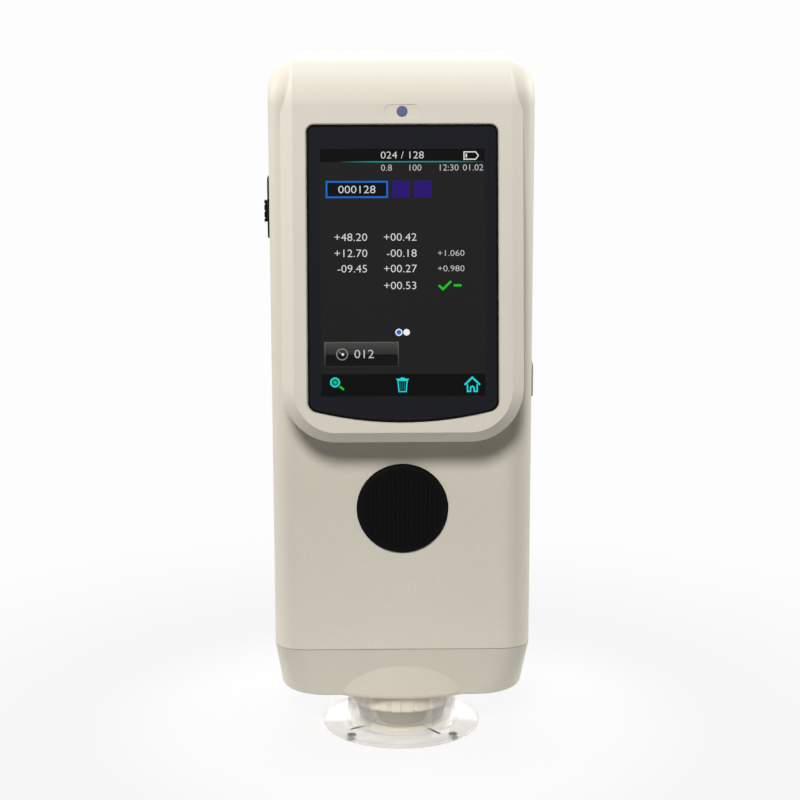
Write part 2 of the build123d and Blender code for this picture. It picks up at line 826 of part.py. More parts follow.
with BuildPart() as power_switch_knob:
    outer = half_width + switch_proud + knob_proud
    span_box((-outer, -switch_floor - sliding_gap), (switch_y - knob_width / 2, switch_y + knob_width / 2),
             (knob_z - knob_length / 2, knob_z + knob_length / 2))
    for step in (-1, 0, 1):
        with Locations(Location((-outer, switch_y, knob_z + step * knob_length / 3), (90, 0, 0))):
            Cylinder(knob_groove, knob_width, mode=Mode.SUBTRACT)
    span_box((-switch_floor - 0.5, -inner_half + 1.6), (switch_y - knob_stem / 2, switch_y + knob_stem / 2),
             (knob_z - knob_stem / 2, knob_z + knob_stem / 2))
save(power_switch_knob, "power_switch_knob")

with BuildPart() as power_switch_body:
    low, high = switch_body_span
    half = switch_body_width / 2
    span_box((-inner_half, -inner_half + switch_body_depth), (switch_y - half, switch_y + half),
             (switch_z + low, switch_z + high))
    span_box(
        (-inner_half, -inner_half + 2.2),
        (switch_y - knob_stem / 2 - sliding_gap, switch_y + knob_stem / 2 + sliding_gap),
        stem_slot,
        Mode.SUBTRACT,
    )
save(power_switch_body, "power_switch_body")

with BuildPart() as port_cover:
    front = port_y - port_length / 2
    span_box((port_inner, port_outer), (front, port_axis[1]), port_span)
    z_rod(*port_axis, port_knuckle, port_span)
    fillet(port_cover.edges().filter_by(Axis.X).group_by(Axis.Y)[0], 1.6)
    fillet(port_cover.faces().sort_by(Axis.X)[-1].edges(), 0.4)
    z_rod(*port_axis, port_pin_radius + 0.06, port_span, Mode.SUBTRACT)
save(port_cover, "port_cover")

with BuildPart() as port_cover_pin:
    z_rod(*port_axis, port_pin_radius, (port_span[0] - port_pin_reach, port_span[1] + port_pin_reach))
save(port_cover_pin, "port_cover_pin")

with BuildPart() as usb_socket:
    back_x = board_width / 2 - 1.5
    with BuildSketch(Plane.YZ.offset(back_x)):
        with Locations((board_back + usb_height / 2, port_z)):
            SlotOverall(usb_width, usb_height, rotation=90)
            SlotOverall(usb_width - 0.6, usb_height - 0.6, rotation=90, mode=Mode.SUBTRACT)
    extrude(amount=inner_half - back_x)
    with BuildSketch(Plane.YZ.offset(back_x)):
        with Locations((board_back + usb_height / 2, port_z)):
            SlotOverall(usb_width - 0.4, usb_height - 0.4, rotation=90)
    extrude(amount=1.2)
    with BuildSketch(Plane.YZ.offset(back_x + 0.5)):
        with Locations((board_back + usb_height / 2, port_z)):
            Rectangle(0.7, 6.6)
    extrude(amount=5.5)
save(usb_socket, "usb_socket")

with BuildPart() as battery_door:
    half = door_width / 2
    span_box((-half, half), (door_inner, case_back), (door_bottom, door_hinge_z))
    x_rod(door_axis_y, door_hinge_z, door_knuckle, (-half, half))
    fillet(battery_door.edges().filter_by(Axis.Y).group_by(Axis.Z)[0], door_corner)
    x_rod(door_axis_y, door_hinge_z, door_pin_radius, (-half - door_pin_reach, half + door_pin_reach))
    # Finger scoop at the lower edge
    with Locations((0, case_back + scoop_radius - scoop_depth, door_bottom + 3)):
        Sphere(scoop_radius, mode=Mode.SUBTRACT)
    for x, z in magnet_places:
        magnet_seat = (door_inner, door_inner + magnet_thickness)
        y_rod(x, z, magnet_radius + screw_clearance, magnet_seat, Mode.SUBTRACT)
save(battery_door, "battery_door")

with BuildPart() as door_magnets:
    for x, z in magnet_places:
        y_rod(x, z, magnet_radius, (door_inner, door_inner + magnet_thickness))
save(door_magnets, "door_magnets")

with BuildPart() as catch_magnets:
    for x, z in magnet_places:
        y_rod(x, z, magnet_radius, (door_rest - magnet_thickness, door_rest))
save(catch_magnets, "catch_magnets")

with BuildPart() as battery_pack:
    span_box((-battery_width / 2, battery_width / 2), (bay_floor_y, bay_floor_y + battery_thickness),
             (bay_top - battery_end - battery_height, bay_top - battery_end))
    fillet(battery_pack.edges().filter_by(Axis.Z), 4.0)
save(battery_pack, "battery_pack")

with BuildPart() as battery_contacts:
    low = bay_bottom
    high = bay_top - battery_end - battery_height
    tip = bay_floor_y + contact_reach
    for x in contact_places:
        with BuildSketch(Plane.YZ.offset(x - contact_width / 2)):
            with BuildLine():
                Polyline(
                    (bay_floor_y, low),
                    (tip, low),
                    (tip, high),
                    (tip - contact_strip, high),
                    (tip - contact_strip, low + contact_strip),
                    (bay_floor_y, low + contact_strip),
                    close=True,
                )
            make_face()
        extrude(amount=contact_width)
save(battery_contacts, "battery_contacts")

with BuildPart() as chassis:
    span_box((-chassis_width / 2, chassis_width / 2), plate_y, (shelf_z, chassis_top))
    for z in ear_heights:
        ear_end = inner_half - ear_end_gap
        span_box((-ear_end, ear_end), plate_y, (z - ear_height / 2, z + ear_height / 2))
    span_box((-spectro_width / 2, spectro_width / 2), (chassis_y, shelf_back),
             (shelf_z, shelf_z + shelf_thickness))
    for side in (-1, 1):
        for z in standoff_heights:
            y_rod(side * standoff_x, z, standoff_radius, (board_back, chassis_y))
            y_rod(side * standoff_x, z, small_screw_radius + screw_clearance, (board_back, chassis_y),
                  Mode.SUBTRACT)
        for z in ear_heights:
            y_rod(side * ear_x, z, small_screw_radius + screw_pass, plate_y, Mode.SUBTRACT)
        for y in spectro_screw_rows:
            z_rod(side * spectro_screw_x, y, small_screw_radius + screw_pass,
                  (shelf_z, shelf_z + shelf_thickness), Mode.SUBTRACT)
    half = chassis_window / 2
    span_box((-half, half), plate_y, (chassis_window_z - half, chassis_window_z + half), Mode.SUBTRACT)
save(chassis, "chassis")

with BuildPart() as chassis_screws:
    for side in (-1, 1):
        for z in ear_heights:
            y_rod(side * ear_x, z, small_screw_head, (plate_y[1], plate_y[1] + small_screw_cap))
            y_rod(side * ear_x, z, small_screw_radius, (chassis_y - 6, plate_y[1]))
        shelf_top = shelf_z + shelf_thickness
        for y in spectro_screw_rows:
            z_rod(side * spectro_screw_x, y, small_screw_head, (shelf_top, shelf_top + small_screw_cap))
            z_rod(side * spectro_screw_x, y, small_screw_radius, (shelf_z - 5, shelf_top))
save(chassis_screws, "chassis_screws")

with BuildPart() as main_board:
    span_box((-board_width / 2, board_width / 2), (board_front, board_back), (board_bottom, board_top))
    fillet(main_board.edges().filter_by(Axis.Y), board_corner)
    for side in (-1, 1):
        for z in standoff_heights:
            y_rod(side * standoff_x, z, small_screw_radius + screw_pass, (board_front, board_back),
                  Mode.SUBTRACT)
save(main_board, "main_board")

with BuildPart() as board_screws:
    for side in (-1, 1):
        for z in standoff_heights:
            y_rod(side * standoff_x, z, small_screw_head, (board_front - small_screw_cap, board_front))
            y_rod(side * standoff_x, z, small_screw_radius, (board_front, chassis_y - 0.5))
save(board_screws, "board_screws")

# Chips, connectors and coils on the main board: width, height, thickness, x and z of each
board_parts = (
    (14.0, 14.0, 1.4, 0.0, 160.0),
    (10.0, 12.0, 1.1, 16.0, 160.0),
    (8.0, 8.0, 1.2, -15.0, 162.0),
    (6.0, 6.0, 3.0, -14.0, 148.0),
    (6.0, 6.0, 3.0, -5.0, 142.0),
    (24.0, 4.0, 2.2, 0.0, cable_socket_z),
    (12.0, 5.0, 5.5, 12.0, 180.0),
    (9.0, 5.0, 5.5, -8.0, 182.0),
    (7.0, 5.0, 1.2, 18.0, 140.0),
)
with BuildPart() as board_components:
    for width, height, thickness, x, z in board_parts:
        span_box((x - width / 2, x + width / 2), (board_front - thickness, board_front),
                 (z - height / 2, z + height / 2))
save(board_components, "board_components")

with BuildPart() as buzzer:
    buzzer_front = board_front - buzzer_height
    y_rod(*buzzer_place, buzzer_radius, (buzzer_front, board_front))
    y_rod(*buzzer_place, buzzer_port_radius, (buzzer_front, buzzer_front + 1), Mode.SUBTRACT)
save(buzzer, "buzzer")

# The display's flat cable leaves the module's back below the bracket and rises to the board
with BuildPart() as lcd_cable:
    half_cable = cable_thickness / 2
    cable_depth = -bracket_depth - half_cable
    start = head_face.from_local_coords((0, bracket_rise - bracket_height / 2 - 0.9, cable_depth))
    bend = head_face.from_local_coords((0, lcd_rise - lcd_height / 2 - 1.5, cable_depth))
    socket_y = board_front - cable_socket_reach
    with BuildSketch(Plane.YZ.offset(-cable_width / 2)):
        with BuildLine():
            FilletPolyline(
                (start.Y, start.Z),
                (bend.Y, bend.Z),
                (socket_y, cable_socket_z - 7.5),
                (socket_y, cable_socket_z - 2.0),
                radius=1.6,
            )
        trace(line_width=cable_thickness)
    extrude(amount=cable_width)
save(lcd_cable, "lcd_cable")

# Measuring nose
with BuildPart() as nose_mount:
    floor_top = base_bottom + wall
    turned([
        (nose_bore, nose_taper_top),
        (nose_neck_radius, nose_taper_top),
        (nose_neck_radius, nose_collar_z),
        (nose_collar_radius, nose_collar_z),
        (nose_collar_radius, base_bottom),
        (nose_collar_radius - nose_collar_step, base_bottom),
        (nose_collar_radius - nose_collar_step, floor_top),
        (nose_collar_radius + nose_flange_step, floor_top),
        (nose_collar_radius + nose_flange_step, floor_top + nose_flange),
        (nose_bore, floor_top + nose_flange),
    ])
    with Locations((0, 0, sphere_z)):
        Sphere(sphere_outer + seat_gap, mode=Mode.SUBTRACT)
save(nose_mount, "nose_mount")

with BuildPart() as lock_ring:
    turned([
        (nose_neck_radius + 0.1, nose_taper_top),
        (lock_ring_radius, nose_taper_top),
        (lock_ring_radius, nose_collar_z),
        (nose_neck_radius + 0.1, nose_collar_z),
    ])
    with PolarLocations(lock_ring_radius + 0.25, flute_count):
        Cylinder(flute_radius, 60, mode=Mode.SUBTRACT)
save(lock_ring, "lock_ring")

with BuildPart() as nose_cone:
    turned([
        (nose_foot_radius - 1.6, mask_top),
        (nose_foot_radius, mask_top),
        (nose_taper_radius, nose_taper_top),
        (nose_bore - 0.1, nose_taper_top),
        (nose_bore - 0.1, nose_taper_top + 2),
        (nose_bore - 1.2, nose_taper_top + 2),
    ])
save(nose_cone, "nose_cone")

with BuildPart() as aperture_mask:
    turned([
        (aperture_radius, 0),
        (mask_boss_radius, 0),
        (mask_boss_radius, mask_top - mask_lip),
        (mask_radius, mask_top - mask_lip),
        (mask_radius, mask_top),
        (aperture_radius, mask_top),
    ])
    low_rims = aperture_mask.edges().filter_by(GeomType.CIRCLE).group_by(Axis.Z)[0]
    chamfer(low_rims.sort_by(SortBy.RADIUS)[0], 0.6)
save(aperture_mask, "aperture_mask")

with BuildPart() as locating_plate:
    wall_outer = plate_wall_inner + plate_wall
    turned([
        (plate_hole_radius, 0),
        (plate_radius, 0),
        (plate_radius, plate_thickness),
        (wall_outer, plate_thickness),
        (wall_outer, plate_wall_top),
        (plate_wall_inner, plate_wall_top),
        (plate_wall_inner, plate_thickness),
        (plate_hole_radius, plate_thickness),
    ])
    rim = locating_plate.edges().filter_by(GeomType.CIRCLE).sort_by(SortBy.RADIUS)[-2:]
    fillet(rim, 0.4)
    root = locating_plate.edges().filter_by(
        lambda e: e.geom_type == GeomType.CIRCLE
        and abs(e.radius - wall_outer) < 0.01
        and abs(e.center().Z - plate_thickness) < 0.01
    )
    fillet(root, plate_fillet)
    with PolarLocations(pad_ring_radius, 4, 45):
        Cylinder(pad_radius + screw_clearance, 10, mode=Mode.SUBTRACT)
save(locating_plate, "locating_plate")

with BuildPart() as plate_pads:
    with PolarLocations(pad_ring_radius, 4, 45):
        Cylinder(pad_radius, plate_thickness, align=(Align.CENTER, Align.CENTER, Align.MIN))
save(plate_pads, "plate_pads")

# Integrating sphere in two halves, with a port to the nose, one for viewing and one for the lamp
view_axis = Plane(origin=(0, 0, 0), z_dir=(0, sin(radians(view_angle)), cos(radians(view_angle))))
view_offset = sphere_z * sin(radians(view_angle))
sphere_exit = sphere_z * cos(radians(view_angle)) + sqrt(sphere_outer**2 - view_offset**2)

with BuildPart() as sphere_lower:
    with Locations((0, 0, sphere_z)):
        Sphere(sphere_outer)
    z_rod(0, 0, sphere_outer + sphere_flange, (sphere_z - 1.4, sphere_z))
    z_rod(0, 0, port_tube_radius + port_tube_wall, (mask_top, sphere_z - sphere_radius + 1))
    with Locations((0, 0, sphere_z)):
        Sphere(sphere_radius, mode=Mode.SUBTRACT)
    z_rod(0, 0, port_tube_radius, (mask_top, sphere_z), Mode.SUBTRACT)
    split(bisect_by=Plane.XY.offset(sphere_z), keep=Keep.BOTTOM)
save(sphere_lower, "sphere_lower")

with BuildPart() as sphere_upper:
    with Locations((0, 0, sphere_z)):
        Sphere(sphere_outer)
    z_rod(0, 0, sphere_outer + sphere_flange, (sphere_z, sphere_z + 1.4))
    y_rod(0, lamp_z, lamp_tube_radius + lamp_tube_wall, (0, sphere_outer + 4))
    with Locations((0, 0, sphere_z)):
        Sphere(sphere_radius, mode=Mode.SUBTRACT)
    y_rod(0, lamp_z, lamp_tube_radius, (0, sphere_outer + 4), Mode.SUBTRACT)
    with BuildSketch(view_axis.offset(sphere_z)):
        Circle(view_tube_radius - view_tube_wall)
    extrude(amount=30, mode=Mode.SUBTRACT)
    with BuildSketch(view_axis.offset(sphere_exit - 1.0)):
        Circle(view_tube_radius + screw_clearance)
    extrude(amount=10, mode=Mode.SUBTRACT)
    split(bisect_by=Plane.XY.offset(sphere_z), keep=Keep.TOP)
save(sphere_upper, "sphere_upper")

with BuildPart() as sphere_baffle:
    span_box((-4.2, 4.2), (10.2, 11.0), (lamp_z - 5, sphere_z + sphere_radius))
    with Locations((0, 0, sphere_z)):
        Sphere(sphere_radius, mode=Mode.INTERSECT)
save(sphere_baffle, "sphere_baffle")

with BuildPart() as lamp_board:
    y = sphere_outer + 4
    half = lamp_board_size / 2
    span_box((-half, half), (y, y + 1.6), (lamp_z - 6, lamp_z - 6 + lamp_board_size))
    y_rod(0, lamp_z, 2.6, (y - 1.6, y))
save(lamp_board, "lamp_board")

with BuildPart() as viewing_tube:
    length = spectro_bottom / cos(radians(view_angle)) - sphere_exit
    with BuildSketch(view_axis.offset(sphere_exit - 1.0)):
        Circle(view_tube_radius)
    extrude(amount=length + 3)
    with BuildSketch(view_axis.offset(lens_distance - 1)):
        Circle(lens_radius + 1.6)
    extrude(amount=5)
    with BuildSketch(view_axis.offset(sphere_exit - 2.0)):
        Circle(view_tube_radius - view_tube_wall)
    extrude(amount=length + 6, mode=Mode.SUBTRACT)
    with BuildSketch(view_axis.offset(lens_distance)):
        Circle(lens_radius + screw_clearance)
    extrude(amount=2.2, mode=Mode.SUBTRACT)
    split(bisect_by=Plane.XY.offset(spectro_bottom), keep=Keep.BOTTOM)
save(viewing_tube, "viewing_tube")

with BuildPart() as collector_lens:
    with BuildSketch(view_axis.offset(lens_distance)):
        Circle(lens_radius)
    extrude(amount=2.2)
save(collector_lens, "collector_lens")

tube_exit_y = spectro_bottom * tan(radians(view_angle))

with BuildPart() as spectrometer_body:
    half = spectro_width / 2
    span_box((-half, half), (-spectro_front, spectro_back), (spectro_bottom, spectro_top))
    span_box((spectro_wall - half, half - spectro_wall),
             (spectro_wall - spectro_front, spectro_back - spectro_wall),
             (spectro_bottom + spectro_wall, spectro_top), Mode.SUBTRACT)
    for side in (-1, 1):
        for y in spectro_screw_rows:
            z_rod(side * spectro_screw_x, y, spectro_boss_radius, (spectro_bottom + 1, spectro_top))
            z_rod(side * spectro_screw_x, y, small_screw_radius + screw_clearance,
                  (spectro_top - 8, spectro_top), Mode.SUBTRACT)
    z_rod(0, tube_exit_y, 3.4, (spectro_bottom - 1, spectro_bottom + spectro_wall), Mode.SUBTRACT)
save(spectrometer_body, "spectrometer_body")

with BuildPart() as spectrometer_cover:
    half = spectro_width / 2
    span_box((-half, half), (-spectro_front, spectro_back), (spectro_top, shelf_z))
    for side in (-1, 1):
        for y in spectro_screw_rows:
            z_rod(side * spectro_screw_x, y, small_screw_radius + screw_pass, (spectro_top, shelf_z),
                  Mode.SUBTRACT)
save(spectrometer_cover, "spectrometer_cover")

with BuildPart() as entrance_slit:
    floor = spectro_bottom + spectro_wall
    plate = (floor, floor + slit_thickness)
    z_rod(0, tube_exit_y, slit_radius, plate)
    slit_span = (tube_exit_y - slit_length / 2, tube_exit_y + slit_length / 2)
    span_box((-slit_width / 2, slit_width / 2), slit_span, plate, Mode.SUBTRACT)
save(entrance_slit, "entrance_slit")

with BuildPart() as grating:
    grating_face = spectro_top - grating_thickness
    z_rod(0, tube_exit_y, grating_radius, (grating_face, spectro_top))
    with Locations((0, tube_exit_y, grating_face + grating_dish - grating_curve)):
        Sphere(grating_curve, mode=Mode.SUBTRACT)
save(grating, "grating")

with BuildPart() as sensor_board:
    x = spectro_wall - spectro_width / 2
    floor = spectro_bottom + spectro_wall
    face = x + sensor_board_thickness
    low, high = sensor_levels
    span_box((x, face), sensor_board_rows, (floor, floor + sensor_board_height))
    span_box((face, face + sensor_thickness), sensor_rows, (spectro_bottom + low, spectro_bottom + high))
save(sensor_board, "sensor_board")

with BuildPart() as case_screws:
    for side in (-1, 1):
        for z in case_screw_heights:
            x = side * case_screw_x
            y_rod(x, z, case_screw_head, (case_screw_seat_y, case_screw_seat_y + case_screw_cap))
            y_rod(x, z, case_screw_radius, (case_screw_seat_y - 14, case_screw_seat_y))
            with Locations((x, case_screw_seat_y + case_screw_cap, z)):
                Box(cross_length, cross_depth, cross_width, mode=Mode.SUBTRACT)
                Box(cross_width, cross_depth, cross_length, mode=Mode.SUBTRACT)
save(case_screws, "case_screws")

with BuildPart() as base_screws:
    seat = base_bottom + base_screw_seat
    for x, y in base_screw_places:
        z_rod(x, y, case_screw_head, (seat - case_screw_cap, seat))
        z_rod(x, y, case_screw_radius, (seat, base_boss_top - 2))
        with Locations((x, y, seat - case_screw_cap)):
            Box(cross_length, cross_width, cross_depth, mode=Mode.SUBTRACT)
            Box(cross_width, cross_length, cross_depth, mode=Mode.SUBTRACT)
save(base_screws, "base_screws")
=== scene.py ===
import json
import math
import bmesh
import bpy
from mathutils import Euler, Matrix, Vector


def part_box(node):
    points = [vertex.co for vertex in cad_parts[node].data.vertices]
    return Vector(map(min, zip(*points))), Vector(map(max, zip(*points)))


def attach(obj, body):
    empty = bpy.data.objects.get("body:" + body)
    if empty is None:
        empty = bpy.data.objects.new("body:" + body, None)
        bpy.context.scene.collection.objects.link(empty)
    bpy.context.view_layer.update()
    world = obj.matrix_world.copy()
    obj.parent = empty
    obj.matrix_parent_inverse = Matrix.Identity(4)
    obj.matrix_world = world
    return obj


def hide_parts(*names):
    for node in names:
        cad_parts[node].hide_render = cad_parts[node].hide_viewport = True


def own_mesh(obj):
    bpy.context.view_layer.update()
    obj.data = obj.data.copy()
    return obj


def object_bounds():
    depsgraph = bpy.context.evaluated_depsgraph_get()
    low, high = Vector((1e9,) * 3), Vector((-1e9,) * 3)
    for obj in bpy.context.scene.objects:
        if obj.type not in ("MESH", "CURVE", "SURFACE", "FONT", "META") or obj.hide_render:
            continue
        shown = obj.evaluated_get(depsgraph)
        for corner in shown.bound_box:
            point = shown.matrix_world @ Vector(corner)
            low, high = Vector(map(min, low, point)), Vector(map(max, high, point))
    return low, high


# A portable spectrophotometer standing on its measuring nose. The front looks along -Y.

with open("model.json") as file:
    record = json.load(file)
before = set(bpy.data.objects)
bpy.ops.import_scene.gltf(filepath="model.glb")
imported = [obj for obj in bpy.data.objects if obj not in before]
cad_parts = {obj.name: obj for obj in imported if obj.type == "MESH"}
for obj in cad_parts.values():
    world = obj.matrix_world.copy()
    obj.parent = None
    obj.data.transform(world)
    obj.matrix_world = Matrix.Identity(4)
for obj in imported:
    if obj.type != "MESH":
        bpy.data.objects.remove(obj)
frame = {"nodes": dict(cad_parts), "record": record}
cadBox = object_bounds()
nodes = frame["nodes"]
mm = 0.001


def linear(hexColour):  # sRGB hex to the linear values that Blender's sockets take
    channels = [int(hexColour[i:i + 2], 16) / 255 for i in (1, 3, 5)]
    return tuple(c / 12.92 if c < 0.04045 else ((c + 0.055) / 1.055) ** 2.4 for c in channels) + (1,)


def add(tree, kind, inputs={}, **settings):  # one node, with its settings, values and links
    node = tree.nodes.new("ShaderNode" + kind)
    for name, value in settings.items():
        setattr(node, name, value)
    for socket, value in inputs.items():
        if isinstance(value, bpy.types.NodeSocket):
            tree.links.new(value, node.inputs[socket])
        else:
            node.inputs[socket].default_value = value
    return node


def startMaterial(name):  # an empty material, its node tree and the piece's own coordinates
    material = bpy.data.materials.new(name)
    material.use_nodes = True
    tree = material.node_tree
    tree.nodes.clear()
    place = add(tree, "TexCoord").outputs["Object"]
    return material, tree, place


def closeMaterial(tree, shader):
    add(tree, "OutputMaterial", {"Surface": shader.outputs[0]})


# Camera

camera = {
    "aim": (-0.3, 0, 107),  # mm
    "distance": 650,  # mm
    "elevation": 12.0,  # degrees above the horizon
    "azimuth": -1.0,  # degrees, a little to the switch side
    "roll": 0.1,  # degrees
    "lens": 92.5,  # mm
    "sensor": 36,  # mm
    "clip": (0.02, 50),  # m, nearest and furthest that it sees
}


def makeCamera(look):
    data = bpy.data.cameras.new("photoCamera")
    data.sensor_width = look["sensor"]
    data.lens = look["lens"]
    data.clip_start, data.clip_end = look["clip"]
    holder = bpy.data.objects.new("photoCamera", data)
    around, up = math.radians(look["azimuth"]), math.radians(look["elevation"])
    outward = Vector((math.cos(up) * math.sin(around), -math.cos(up) * math.cos(around), math.sin(up)))
    holder.location = Vector(look["aim"]) * mm + outward * look["distance"] * mm
    level = (-outward).to_track_quat("-Z", "Y")
    roll = Euler((0, 0, math.radians(-look["roll"]))).to_quaternion()
    holder.rotation_euler = (level @ roll).to_euler()
    bpy.context.scene.collection.objects.link(holder)
    bpy.context.scene.camera = holder


makeCamera(camera)
print("camera placed")


# Stage: white floor, white surroundings, plain soft lights

stage = {
    "white": "#FDFDFD",
    "floorPaint": "#D8D8D6",  # near the object
    "floorEdge": "#404040",  # further off, so that little light comes back up to the screen head
    "bounceReach": (0.06, 0.12),  # m, where the floor goes from the one paint to the other
    "floorSize": 8.0,  # m
    "floorDrop": 0.1,  # mm under the measuring face
    "floorRoughness": 0.9,
    "shadowShare": 0.1,  # how much of the floor near the object is paint and takes its shadow
    "shadowReach": (0.05, 0.25),  # m, where the paint begins and ends to give way to plain white
    "skyStrength": 0.07,
}
lamps = {  # place and size in metres
    "keySoftbox": {"place": (-0.14, -1.05, 0.79), "size": 0.3, "watts": 12.2, "colour": "#FFFEFB"},
    "topSoftbox": {"place": (-0.05, 0.15, 1.3), "size": 0.7, "watts": 8.2, "colour": "#F4FCFF"},
    "leftSoftbox": {"place": (-1.0, 0.4, 0.42), "size": 0.6, "watts": 9.0, "colour": "#FFFEFC"},
    "rightSoftbox": {"place": (1.0, 0.55, 0.42), "size": 0.6, "watts": 11.6, "colour": "#FFFEFC"},
    "rearSoftbox": {"place": (0.1, 1.2, 0.7), "size": 0.8, "watts": 3.2, "colour": "#FFFEFC"},
}


def seenDirectly(tree):  # 1 for what the camera sees, also in gloss and through clear plastic
    rays = add(tree, "LightPath").outputs
    sharp = add(tree, "Math", {0: rays["Is Camera Ray"], 1: rays["Is Glossy Ray"]}, operation="MAXIMUM")
    clear = add(tree, "Math", {0: sharp.outputs[0], 1: rays["Is Transmission Ray"]}, operation="MAXIMUM")
    return clear.outputs[0]


def makeSky(look):
    world = bpy.data.worlds.new("whiteRoom")
    world.use_nodes = True
    bpy.context.scene.world = world
    tree = world.node_tree
    tree.nodes.clear()
    lighting = add(tree, "Background", {"Color": (1, 1, 1, 1), "Strength": look["skyStrength"]})
    shown = add(tree, "Background", {"Color": linear(look["white"]), "Strength": 1.0})
    mix = add(tree, "MixShader", {0: seenDirectly(tree), 1: lighting.outputs[0], 2: shown.outputs[0]})
    add(tree, "OutputWorld", {"Surface": mix.outputs[0]})


def makeFloor(look):
    mesh = bpy.data.meshes.new("floor")
    grid = bmesh.new()
    bmesh.ops.create_grid(grid, x_segments=8, y_segments=8, size=look["floorSize"] / 2)
    grid.to_mesh(mesh)
    grid.free()
    floor = bpy.data.objects.new("floor", mesh)
    floor.location.z = -look["floorDrop"] * mm
    bpy.context.scene.collection.objects.link(floor)
    material, tree, place = startMaterial("painted white floor")
    away = add(tree, "VectorMath", {0: place}, operation="LENGTH").outputs["Value"]
    near, far = look["bounceReach"]
    spread = add(tree, "MapRange", {"Value": away, "From Min": near, "From Max": far},
                 interpolation_type="SMOOTHSTEP")
    tone = add(tree, "Mix", {0: spread.outputs[0], 6: linear(look["floorPaint"]),
                             7: linear(look["floorEdge"])}, data_type="RGBA")
    paint = add(tree, "BsdfPrincipled", {"Base Color": tone.outputs[2], "Roughness": look["floorRoughness"]})
    white = add(tree, "Emission", {"Color": linear(look["white"]), "Strength": 1.0})
    near, far = look["shadowReach"]
    fade = add(tree, "MapRange", {"Value": away, "From Min": near, "From Max": far,
                                  "To Min": 1 - look["shadowShare"], "To Max": 1.0},
               interpolation_type="SMOOTHSTEP")
    share = add(tree, "Math", {0: fade.outputs[0], 1: seenDirectly(tree)}, operation="MULTIPLY")
    mix = add(tree, "MixShader", {0: share.outputs[0], 1: paint.outputs[0], 2: white.outputs[0]})
    closeMaterial(tree, mix)
    mesh.materials.append(material)


def makeLamp(name, look, aim):
    data = bpy.data.lights.new(name, "AREA")
    data.shape = "DISK"
    data.size = look["size"]
    data.energy = look["watts"]
    data.color = linear(look["colour"])[:3]
    lamp = bpy.data.objects.new(name, data)
    lamp.location = look["place"]
    lamp.rotation_euler = (aim - lamp.location).to_track_quat("-Z", "Y").to_euler()
    bpy.context.scene.collection.objects.link(lamp)


makeSky(stage)
makeFloor(stage)
for lampName, lampLook in lamps.items():
    makeLamp(lampName, lampLook, (cadBox[0] + cadBox[1]) / 2)
print("stage and lamps placed")


# Materials: moulded plastics. Sizes and depths are in millimetres

noiseSpan = {"From Min": 0.3, "From Max": 0.7}  # nearly all of a noise texture's values lie between these

caseAbs = {  # ABS from a spark-eroded mould: an even, dull, slightly grainy skin
    "base": "#DAD4C8",
    "drift": "#D3CCBE",
    "driftSize": 45,  # slow change of tone
    "speckle": 0.03,  # share by which the grain lightens and darkens the colour
    "grain": 0.55,  # the real grain of 0.1 mm is too fine to show, so it is drawn coarser
    "grainDepth": 0.012,
    "roughness": (0.5, 0.62),
    "ior": 1.54,
    "specular": 0.35,
}
blackAbs = {  # black ABS, satin from the mould: soft wide gloss that keeps the ribs readable
    "base": "#030304",
    "drift": "#060608",
    "driftSize": 12,
    "speckle": 0.02,
    "grain": 0.4,
    "grainDepth": 0.006,
    "roughness": (0.55, 0.65),
    "ior": 1.54,
    "specular": 0.06,
}
whiteAbs = {  # off-white ABS, smooth from a polished mould: small soft highlights
    "base": "#CBC6BC",
    "drift": "#C3BDB2",
    "driftSize": 20,
    "speckle": 0.02,
    "grain": 0.5,
    "grainDepth": 0.006,
    "roughness": (0.32, 0.42),
    "ior": 1.54,
    "specular": 0.5,
}
noseAbsPaintedShade = {  # mid grey ABS, smooth turned look, darker than the pale ring above it: painted shade that the ring casts on the nose cone
    "base": "#918E87",
    "drift": "#888580",
    "driftSize": 15,
    "speckle": 0.02,
    "grain": 0.4,
    "grainDepth": 0.006,
    "roughness": (0.34, 0.46),
    "ior": 1.54,
    "specular": 0.5,
}


def mouldedPlastic(name, look):
    material, tree, place = startMaterial(name)
    drift = add(tree, "TexNoise", {"Vector": place, "Scale": 1 / (look["driftSize"] * mm), "Detail": 3.0})
    grain = add(tree, "TexNoise", {"Vector": place, "Scale": 1 / (look["grain"] * mm), "Detail": 4.0,
                                   "Roughness": 0.6})
    tone = add(tree, "Mix", {0: drift.outputs[0], 6: linear(look["base"]), 7: linear(look["drift"])},
               data_type="RGBA")
    speck = add(tree, "MapRange", {**noiseSpan, "Value": grain.outputs[0], "To Min": 1 - look["speckle"],
                                   "To Max": 1 + look["speckle"]})
    colour = add(tree, "VectorMath", {0: tone.outputs[2], "Scale": speck.outputs[0]}, operation="SCALE")
    dull = add(tree, "MapRange", {**noiseSpan, "Value": grain.outputs[0], "To Min": look["roughness"][0],
                                  "To Max": look["roughness"][1]})
    bump = add(tree, "Bump", {"Height": grain.outputs[0], "Distance": look["grainDepth"] * mm,
                              "Strength": 1.0})
    shader = add(tree, "BsdfPrincipled", {"Base Color": colour.outputs[0], "Roughness": dull.outputs[0],
                                          "Normal": bump.outputs[0], "IOR": look["ior"],
                                          "Specular IOR Level": look["specular"]})
    closeMaterial(tree, shader)
    return material


# Materials: rubbers and films. Grain sizes and depths are in millimetres

